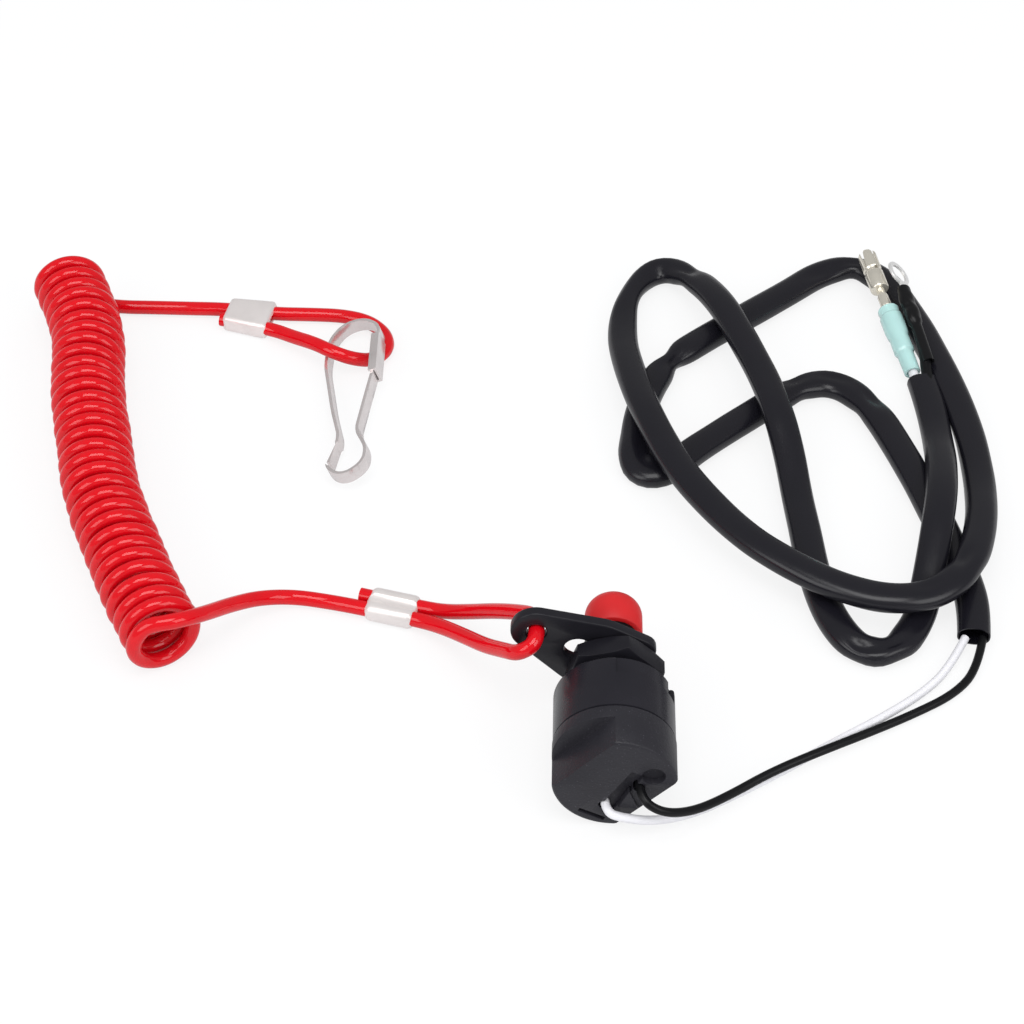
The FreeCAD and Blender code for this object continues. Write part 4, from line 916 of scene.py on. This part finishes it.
def makeEye():
    hole, radius, half = ringEye["hole"], ringEye["radius"], ringEye["half"]
    start, end = ringEye["tang"]
    piece = turned("ring_eye", [(-half, hole), (-half, radius), (half, radius), (half, hole), (-half, hole)],
                   (0, 0, 1), 48)
    settle(piece, Matrix.Translation((ringEye["centre"], 0, 0)))
    carve(piece, block("tang", (start, -0.001, -half), (end, 0.001, half)), "UNION")
    settle(piece, ringPlace)
    edged(piece, 0.00012)
    return finished(piece, "ring", "switch", "plated_steel", "ring_terminal")


eye = makeEye()

# The wires' own ends, from the sleeve into the terminals

sleeveEnd = sleeveLine[-1]
outward = (sleeveEnd - sleeveLine[-3]).normalized()
aside = Vector((outward.y, -outward.x, 0))
whiteStart = sleeveEnd - aside * 0.0016
blackStart = sleeveEnd + aside * 0.0014 + Vector((0, 0, 0.0008))
whiteEnd = threaded("white_wire_tail", [
    whiteStart - outward * 0.006, whiteStart + outward * 0.0015,
    bulletPlace @ Vector((0.004, 0, 0)), bulletPlace @ Vector((0.012, 0, 0))], 0.0028)
blackEnd = threaded("black_wire_tail", [
    blackStart - outward * 0.006, blackStart + outward * 0.0018,
    ringPlace @ Vector((0.004, 0, 0)), ringPlace @ Vector((0.0168, 0, 0))], 0.0032)
finished(whiteEnd, "white", "switch", "white_insulation", "white_wire_end")
finished(blackEnd, "black", "switch", "black_insulation", "black_wire_end")
print("terminals made")


# The pieces inside keep their solids and get their real finishes

inside = {"stem_seal": "rubber", "plunger_spring": "spring", "retaining_ring": "spring", "push_rod": "stem",
          "button_spring": "spring", "contact_carrier": "stem", "contact_bridge": "brass",
          "white_contact": "brass", "black_contact": "brass"}
for node, finish in inside.items():
    nodes[node].data.materials.clear()
    nodes[node].data.materials.append(finishes[finish])


# Floor, light and camera

idle()
bpy.ops.mesh.primitive_plane_add(size=6, location=(0, 0, table - 0.0003))
floor = named("floor")
white = Finish("white floor", (0.86, 0.86, 0.87), 0.7)
seen = white.add("ShaderNodeLightPath", {}, {}, "Is Camera Ray")
glossy = white.add("ShaderNodeLightPath", {}, {}, "Is Glossy Ray")
through = white.add("ShaderNodeLightPath", {}, {}, "Is Transmission Ray")
glow = white.add("ShaderNodeEmission", {}, {"Color": white.blend(glossy, (1, 1, 1), (0.66, 0.66, 0.67))})
shown = (seen.most(through) * 0.82).most(glossy)  # the rest is the lit floor, which keeps the shadow
lit = Signal(white, white.shader.outputs[0])
mixed = white.add("ShaderNodeMixShader", {}, {0: shown, 1: lit, 2: glow})
white.feed(white.tree.nodes["Material Output"].inputs["Surface"], mixed)
floor.data.materials.append(white.material)

world = bpy.data.worlds.new("studio")
bpy.context.scene.world = world
sky = Wiring(world)
sky.tree.nodes.clear()
light = sky.add("ShaderNodeBackground", {}, {"Color": (0.96, 0.98, 1.0, 1.0), "Strength": 0.8})
bright = sky.add("ShaderNodeBackground", {}, {"Strength": 1.0})
dim = sky.add("ShaderNodeBackground", {}, {"Strength": 0.36})
glossy = sky.add("ShaderNodeLightPath", {}, {}, "Is Glossy Ray")
seen = sky.add("ShaderNodeLightPath", {}, {}, "Is Camera Ray")
through = sky.add("ShaderNodeLightPath", {}, {}, "Is Transmission Ray")
reflected = sky.add("ShaderNodeMixShader", {}, {0: glossy, 1: light, 2: dim})
whole = sky.add("ShaderNodeMixShader", {}, {0: seen.most(through), 1: reflected, 2: bright})
sky.feed(sky.tree.nodes.new("ShaderNodeOutputWorld").inputs["Surface"], whole)

lamps = {  # place, width, height and watts of each, aimed at the middle of the part
    "left box": ((-0.72, -0.50, 0.62), 0.60, 0.62, 2.7),
    "overhead box": ((-0.02, -0.27, 1.09), 0.74, 0.62, 5.0),
    "right box": ((0.68, -0.50, 0.62), 0.60, 0.62, 2.7),
}
middle = Vector((-0.02, 0.08, 0))
for name, (place, width, height, watts) in lamps.items():
    lamp = bpy.data.lights.new(name, "AREA")
    lamp.shape = "RECTANGLE"
    lamp.size, lamp.size_y, lamp.energy = width, height, watts
    holder = bpy.data.objects.new(name, lamp)
    holder.location = place
    holder.rotation_euler = (middle - Vector(place)).to_track_quat("-Z", "Y").to_euler()
    bpy.context.scene.collection.objects.link(holder)

camera = {"lens": 91.41, "place": (-0.0151, -0.4190, 0.4692), "tilt": 45.8, "turn": 1.3}
lens = bpy.data.cameras.new("photo view")
lens.lens = camera["lens"]
lens.sensor_width = 36
lens.clip_start = 0.01
viewer = bpy.data.objects.new("photo view", lens)
viewer.location = camera["place"]
viewer.rotation_euler = (math.radians(camera["tilt"]), 0, math.radians(camera["turn"]))
bpy.context.scene.collection.objects.link(viewer)
bpy.context.scene.camera = viewer
bpy.context.scene.view_settings.view_transform = "Standard"
print("stage set")
